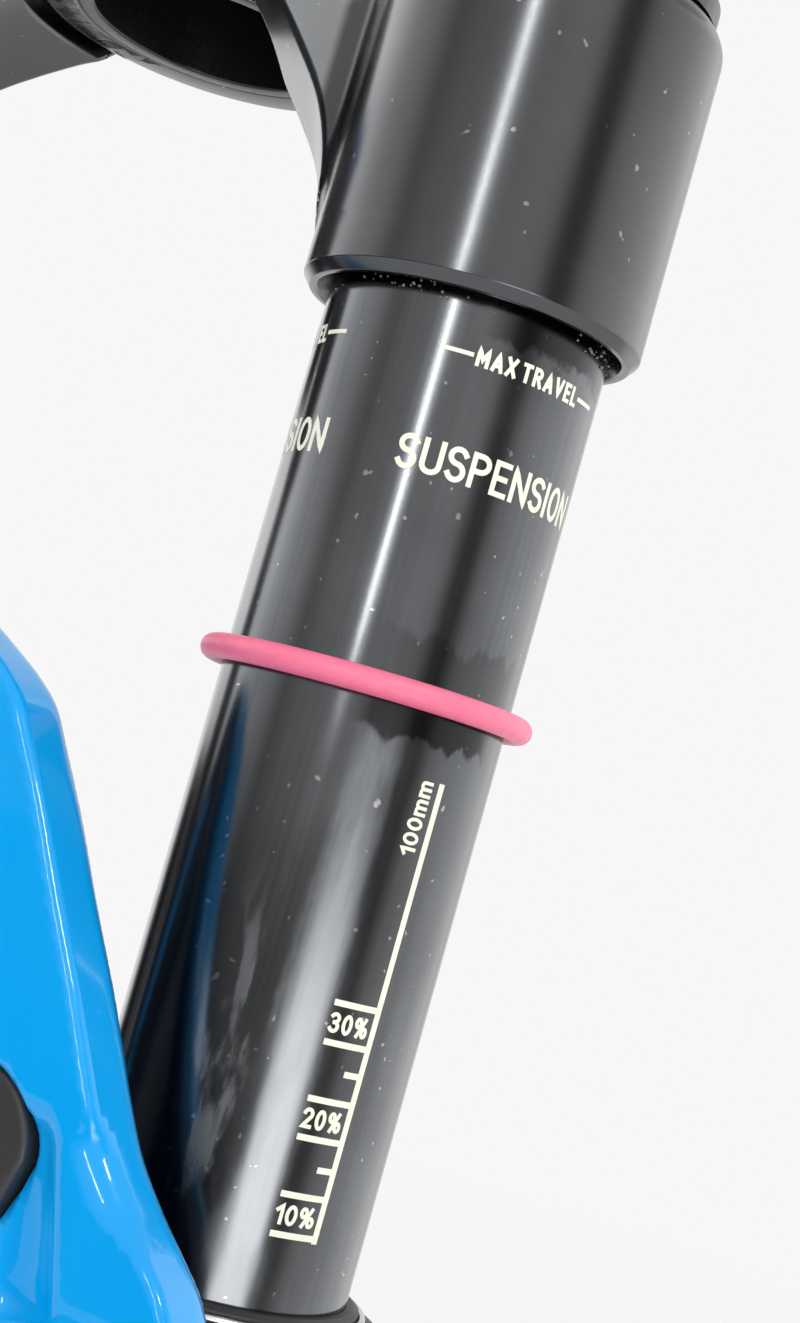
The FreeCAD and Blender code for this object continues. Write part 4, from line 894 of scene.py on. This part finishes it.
# The leg's outside from the foot up: (drop below the wiper seals, radius).
LEG_PROFILE = [(313, 14.0), (305, 17.0), (298, 18.4), (283, 19.2), (60, 19.2), (53, 19.45), (48, 20.2),
               (39.5, 20.5), (-10, 20.5)]
ARCH = through([(x, WIPER + up) for x, up in [
    (-14, 65.6), (0, 66), (14, 65.5), (26, 63.6), (34, 60.9), (39.6, 58.0), (43.4, 55.7), (46.3, 53.3),
    (48.9, 49.6), (53.4, 42.9), (58.1, 35.2), (62.7, 28.0), (65.9, 22.6), (69.0, 17.3), (71.9, 13.0),
    (75.7, 9.0), (79.3, 5.8), (82.7, 2.4), (85.6, -3.0), (87.3, -10), (87.6, -20), (85, -32),
    (79, -43), (68, -48), (57, -43), (51, -32), (48, -20), (46.8, -8), (46.4, 4), (45, 15), (41.5, 27),
    (35, 38), (26, 45.6), (14, 49.4), (0, 50.2), (-14, 49.4),
]], 7)


def segment(u, v, start, end):
    """Distance and share along a segment in the plane (u, v)."""
    ex, ey = end[0] - start[0], end[1] - start[1]
    t = np.clip(((u - start[0]) * ex + (v - start[1]) * ey) / (ex * ex + ey * ey), 0, 1)
    return np.hypot(u - start[0] - ex * t, v - start[1] - ey * t), t


def pocket_shape(across, rise):
    """The drop-shaped pocket in the arch's base, seen from the front."""
    gap, t = segment(across, rise, (54.6, 9.8), (54.0, -7.0))
    return gap - (8.2 - 4.6 * t)


def valley_depth(across, rise, front):
    """A trough sunk in the front from beside the pocket down the outside of the leg."""
    gap, t = segment(across, rise, (62.4, 11.0), (73.0, -34.0))
    return np.hypot(gap, 2.4 - front) - (4.6 + 3.0 * t)


def arch_distance(across, y, z):
    """The bridge in front of the legs, and the foot that carries it back into each collar."""
    rise = z - WIPER
    outline = outline_distance(ARCH, across, z)
    front = ARCH_FRONT + 9.6 * ease(rise, 0, -46) - y
    edge = 1.2 + 2.6 * ease(np.abs(rise - 11), 6, 2)
    plate = meet(meet(outline, front, edge), y - ARCH_REAR, 4.0)
    foot = np.maximum(meet(outline, front, edge), np.maximum(y + 32, z - (COLLAR_TOP - 1.0)))
    valley = valley_depth(across, rise, front)
    pocket = np.maximum(pocket_shape(across, rise), y + 52.5)
    return carve(carve(plate, valley, 1.3), pocket, 0.9), carve(foot, valley, 1.3)


def lowers_distance(x, y, z):
    """The whole lower casting. Features out of a slab's reach are skipped."""
    across = np.abs(x)
    leg = np.hypot(across - LEG_X, y - LEG_Y)
    drops, widths = np.array(LEG_PROFILE).T
    tube = leg - np.interp(z.ravel(), WIPER - drops, widths).reshape(z.shape)
    tube = np.maximum(tube, z - (COLLAR_TOP - 1.5))
    tube = np.maximum(tube, LEG_END + 1.2 - z)
    solid = tube
    if z.max() > WIPER - 70:
        plate, foot = arch_distance(across, y, z)
        solid = join(join(tube, foot, 6.0), plate, 2.5)
    if z.min() < AXLE_Z + 85:
        solid = join(solid, dropout_distance(across, y, z), 6.0)
        solid = np.maximum(solid, AXLE_HOLE_R - np.hypot(y - AXLE_Y, z - AXLE_Z))
    if z.min() < WIPER - 85 and z.max() > AXLE_Z + 30:
        solid = join(solid, posts_distance(x, y, z), 4.0)
    return np.maximum(solid, LEG_BORE_R - np.where(z > LEG_BORE_END, leg, 99))


DROPOUT = through([(AXLE_Y + a, AXLE_Z + b) for a, b in [
    (0, -EYE_R), (8.8, -8.8), (EYE_R, 0), (14.5, 9), (20, 14), (23, 20), (23, 60), (16, 66), (6, 60),
    (2, 46), (-2, 32), (-8, 18), (-12.0, 5), (-11.8, -4), (-8.8, -8.9),
]], 4)
DROPOUT_X = 61.9
DROPOUT_HALF = 5.7


def dropout_distance(across, y, z):
    plate = outline_distance(DROPOUT, y, z)
    return meet(plate, np.abs(across - DROPOUT_X) - DROPOUT_HALF, 2.2)


LOW_POST = AXLE_Z + 55
POST_GAP = 74.2
POST_R = 7.5
BOSS_Z = WIPER - 96     # for the hose guide's screw
BOSS_R = 5.0


def posts_distance(x, y, z):
    """The two brake posts on the rider's left, the scalloped web between them, and the hose guide's boss."""
    low_post, high_post = (np.hypot(x - 58, z - up) - POST_R for up in (LOW_POST, LOW_POST + POST_GAP))
    posts = np.maximum(np.minimum(low_post, high_post), np.maximum(y - 1.2, -28 - y))
    web = np.maximum(np.abs(x - 58.5) - 3.4, np.abs(z - LOW_POST - POST_GAP / 2) - 34)
    scallop = y + 6 + 3.5 * np.cos((z - LOW_POST) / POST_GAP * 2 * math.pi)
    web = meet(np.maximum(web, -28 - y), scallop, 2.0)
    boss = np.maximum(y - (LEG_Y + 22.0), LEG_Y - y)
    boss = np.maximum(boss, np.hypot(x - LEG_X, z - BOSS_Z) - BOSS_R)
    return np.minimum(join(posts, web, 5.0), boss)


def plug_distance(x, y, z):
    """A black piece that fills each pocket at the arch's base and makes it dark."""
    shape = pocket_shape(np.abs(x), z - WIPER) + 0.25
    return meet(shape, np.abs(y + 55.0) - 3.2, 0.8)


def make_lowers():
    for side in SIDES.values():
        near, far = sorted((side * 45, side * 64))
        # A black piece in each arch pocket keeps the pocket dark.
        casting("arch_pocket_fill_left" if side > 0 else "arch_pocket_fill_right", plug_distance,
                (near, -60, WIPER - 13), (far, -50, WIPER + 20), 0.7, "lowers", "cap_plastic")
    voxel = 1.0
    casting("lower_casting", lowers_distance, (-92, -66, AXLE_Z - 15), (92, 5, WIPER + 68), voxel, "lowers",
            "casting_blue", replaces=["lower_legs"])
    for leg, side in SIDES.items():
        foot = (side * LEG_X, LEG_Y, 0)
        turned(f"collar_{leg}", [
            (17.3, COLLAR_TOP - 30), (18.3, COLLAR_TOP - 13.5), (18.3, COLLAR_TOP, 0.3),
            (20.5, COLLAR_TOP, 0.7), (20.52, COLLAR_TOP - 8), (19.5, COLLAR_TOP - 10), (19.0, COLLAR_TOP - 30),
        ], foot, "lowers", "casting_blue")
        turned(f"foot_seat_{leg}", [
            (4.35, LEG_END + 12), (4.35, LEG_END + 5), (7.6, LEG_END + 5, 0.2), (7.6, LEG_END, 0.3),
            (14.0, LEG_END, 1.0), (14.6, LEG_END + 2.5), (11, LEG_END + 12),
        ], foot, "lowers", "casting_blue")
        turned(f"axle_seat_{leg}", [
            (7.5, 0.2, 0.3), (11.5, 0.0, 0.4), (11.5, 4), (10.5, 6), (10.5, 10), (11.5, 12.4), (11.2, 13.1, 0.5),
            (7.5, 13.1, 0.4),
        ], (side * 55, AXLE_Y, AXLE_Z), "lowers", "casting_blue", turn=(side, 0, 0), shade=MACHINED_CASTING)


make_lowers()


# ---------------------------------------------------------------- stage and light

FLOOR_SOLID = 0.9       # radius of the solid floor and of its faded edge, in metres
FLOOR_EDGE = 2.6
STUDIO_WHITE = rgb(0.93, 0.93, 0.93)
VIEW_RISE = 51.0        # where the camera looks at the air-side tube


def make_stage():
    """A round pale floor that fades out into the studio's white."""
    floor_z = low("lower_legs").z * MM - 0.0005
    work = bmesh.new()
    bmesh.ops.create_circle(work, cap_ends=True, radius=FLOOR_EDGE, segments=96,
                            matrix=Matrix.Translation((0, 0, floor_z)))
    floor = linked("floor", mesh_from(work, "floor"))
    shade = Shade("floor_pale", Roughness=0.9, Specular_IOR_Level=0.2)
    shade.colour(shade.blend(shade.noise(1.5), STUDIO_WHITE, rgb(0.97, 0.97, 0.97)))
    away = shade.length(shade.axis("X"), shade.axis("Y"))
    fade = shade.remap(away, FLOOR_SOLID, FLOOR_EDGE * 0.98, 1.0, 0.0, smooth=True)
    shade.put(shade.shader, "Alpha", fade)
    floor.data.materials.append(shade.material)


def make_world():
    world = bpy.data.worlds.new("studio")
    bpy.context.scene.world = world
    world.use_nodes = True
    back = world.node_tree.nodes["Background"]
    back.inputs["Color"].default_value = STUDIO_WHITE


LIGHT_DISTANCE = 1.1    # metres


def softbox(name, azimuth, elevation, width, height, brightness):
    """A soft area light aimed at the left leg; azimuth is from the front towards the rider's left."""
    data = bpy.data.lights.new(name, "AREA")
    data.shape = "RECTANGLE"
    data.size = width
    data.size_y = height
    data.energy = brightness * math.pi * width * height
    item = linked(name, data)
    aim = Vector((LEG_X, LEG_Y, WIPER + VIEW_RISE)) * MM
    a, e = math.radians(azimuth), math.radians(elevation)
    away = Vector((math.sin(a) * math.cos(e), -math.cos(a) * math.cos(e), math.sin(e)))
    item.location = aim + away * LIGHT_DISTANCE
    item.rotation_mode = "QUATERNION"
    item.rotation_quaternion = away.to_track_quat("Z", "Y")
    item.visible_camera = False
    return item


# Brightness that gloss picks up round the studio: (azimuth, brightness). Cards and flags stand there.
AROUND = [
    (-180, 0.93), (-150, 0.93), (-120, 1.40), (-98, 2.80), (-82, 2.40), (-66, 1.55), (-50, 1.20),
    (-34, 0.50), (-18, 0.78), (-2, 0.85), (29, 0.92), (46, 1.10), (61, 1.00), (72, 0.20), (83, 0.20),
    (94, 0.90), (110, 1.30), (126, 1.55), (142, 1.80), (158, 1.70), (174, 1.40), (180, 1.15),
]
BRIGHTEST = 8.0         # of the white that the ramps are shares of
# Top of the dark flag low on the front right: (azimuth, height on the tube where its edge shows).
FLAG_TOP = [(-116, 57.0), (-90, 57.5), (-56, 52.0), (-12, 24.0), (14, 11.0), (30, 4.0), (36, 0.0)]
HIGHEST_FLAG = 60.0
WALL_RADIUS = 1.2       # metres
WALL_STEPS = 96
VIEW_DISTANCE = 290.0   # camera to tube, which turns heights on the wall into heights on the tube


def ramp(shade, share, stops):
    """Grey values along a share from 0 to 1."""
    node = shade.add("ShaderNodeValToRGB", None, Fac=share)
    elements = node.color_ramp.elements
    while len(elements) < len(stops):
        elements.new(0.5)
    for element, (place, value) in zip(elements, stops):
        element.position = place
        element.color = rgb(value, value, value)
    return node.outputs["Color"]


def make_cards():
    """A ring of reflector cards and black flags that only gloss sees, as round a product in a studio."""
    middle = Vector((LEG_X, LEG_Y, WIPER + VIEW_RISE)) * MM
    under, above = low("lower_legs").z * MM + 0.01, middle.z + 1.0
    work = bmesh.new()
    rows = [[work.verts.new((middle.x + WALL_RADIUS * math.sin(a), middle.y - WALL_RADIUS * math.cos(a), z))
             for a in np.linspace(0, 2 * math.pi, WALL_STEPS + 1)[:-1]] for z in (under, above)]
    for k in range(WALL_STEPS):
        n = (k + 1) % WALL_STEPS
        work.faces.new((rows[0][k], rows[0][n], rows[1][n], rows[1][k]))
    cards = linked("cards", mesh_from(work, "cards"))
    shade = Shade("cards", Roughness=1.0, Specular_IOR_Level=0.0, Emission_Strength=BRIGHTEST)
    shade.shader.inputs["Base Color"].default_value = rgb(0, 0, 0)
    azimuth = leg_angle(shade)
    share = shade.remap(azimuth, -180, 180)
    level = ramp(shade, share, [((a + 180) / 360, value / BRIGHTEST) for a, value in AROUND])
    spread = 1 + WALL_RADIUS / MM / VIEW_DISTANCE
    shown = shade.sum("SUBTRACT", rise_of(shade), VIEW_RISE)
    shown = shade.sum("MULTIPLY_ADD", shown, 1 / spread, VIEW_RISE)
    edge = ramp(shade, share, [((a + 180) / 360, top / HIGHEST_FLAG) for a, top in FLAG_TOP])
    over = shade.sum("SUBTRACT", shown, shade.sum("MULTIPLY", edge, HIGHEST_FLAG))
    inside = shade.sum("MULTIPLY", shade.remap(azimuth, -122, -114), shade.remap(azimuth, 38, 30))
    dark = shade.sum("MULTIPLY", shade.remap(over, 1.0, -1.0, smooth=True), inside)
    sheet = shade.sum("MULTIPLY", shade.remap(azimuth, 37, 42, smooth=True),
                      shade.remap(azimuth, 70, 64, smooth=True))
    sheet = shade.sum("MULTIPLY", sheet, shade.remap(shown, 66, 16, 0.0, 0.95))
    level = shade.blend(sheet, level, rgb(1, 1, 1))
    flag = shade.sum("MULTIPLY", between(shade, azimuth, -124, -107, 2), shade.remap(shown, 103, 106))
    level = shade.blend(flag, level, rgb(0, 0, 0))
    shaded = shade.sum("MULTIPLY", shade.remap(shown, 76, 48, 0.0, 0.6), inside)
    level = shade.blend(shaded, level, rgb(0, 0, 0))
    level = shade.blend(dark, level, rgb(0.002, 0.002, 0.003))
    shade.put(shade.shader, "Emission Color", level)
    cards.data.materials.append(shade.material)
    cards.visible_camera = False
    cards.visible_diffuse = False
    cards.visible_shadow = False
    cards.visible_transmission = False


make_stage()
make_world()
make_cards()
softbox("key", 13.6, 22.0, 0.04, 0.52, 30.0)
softbox("edge", 63, 45, 0.08, 0.20, 56.0)
softbox("side", 115, 20, 0.8, 0.8, 0.5).visible_glossy = False
bpy.context.scene.view_settings.view_transform = "Standard"
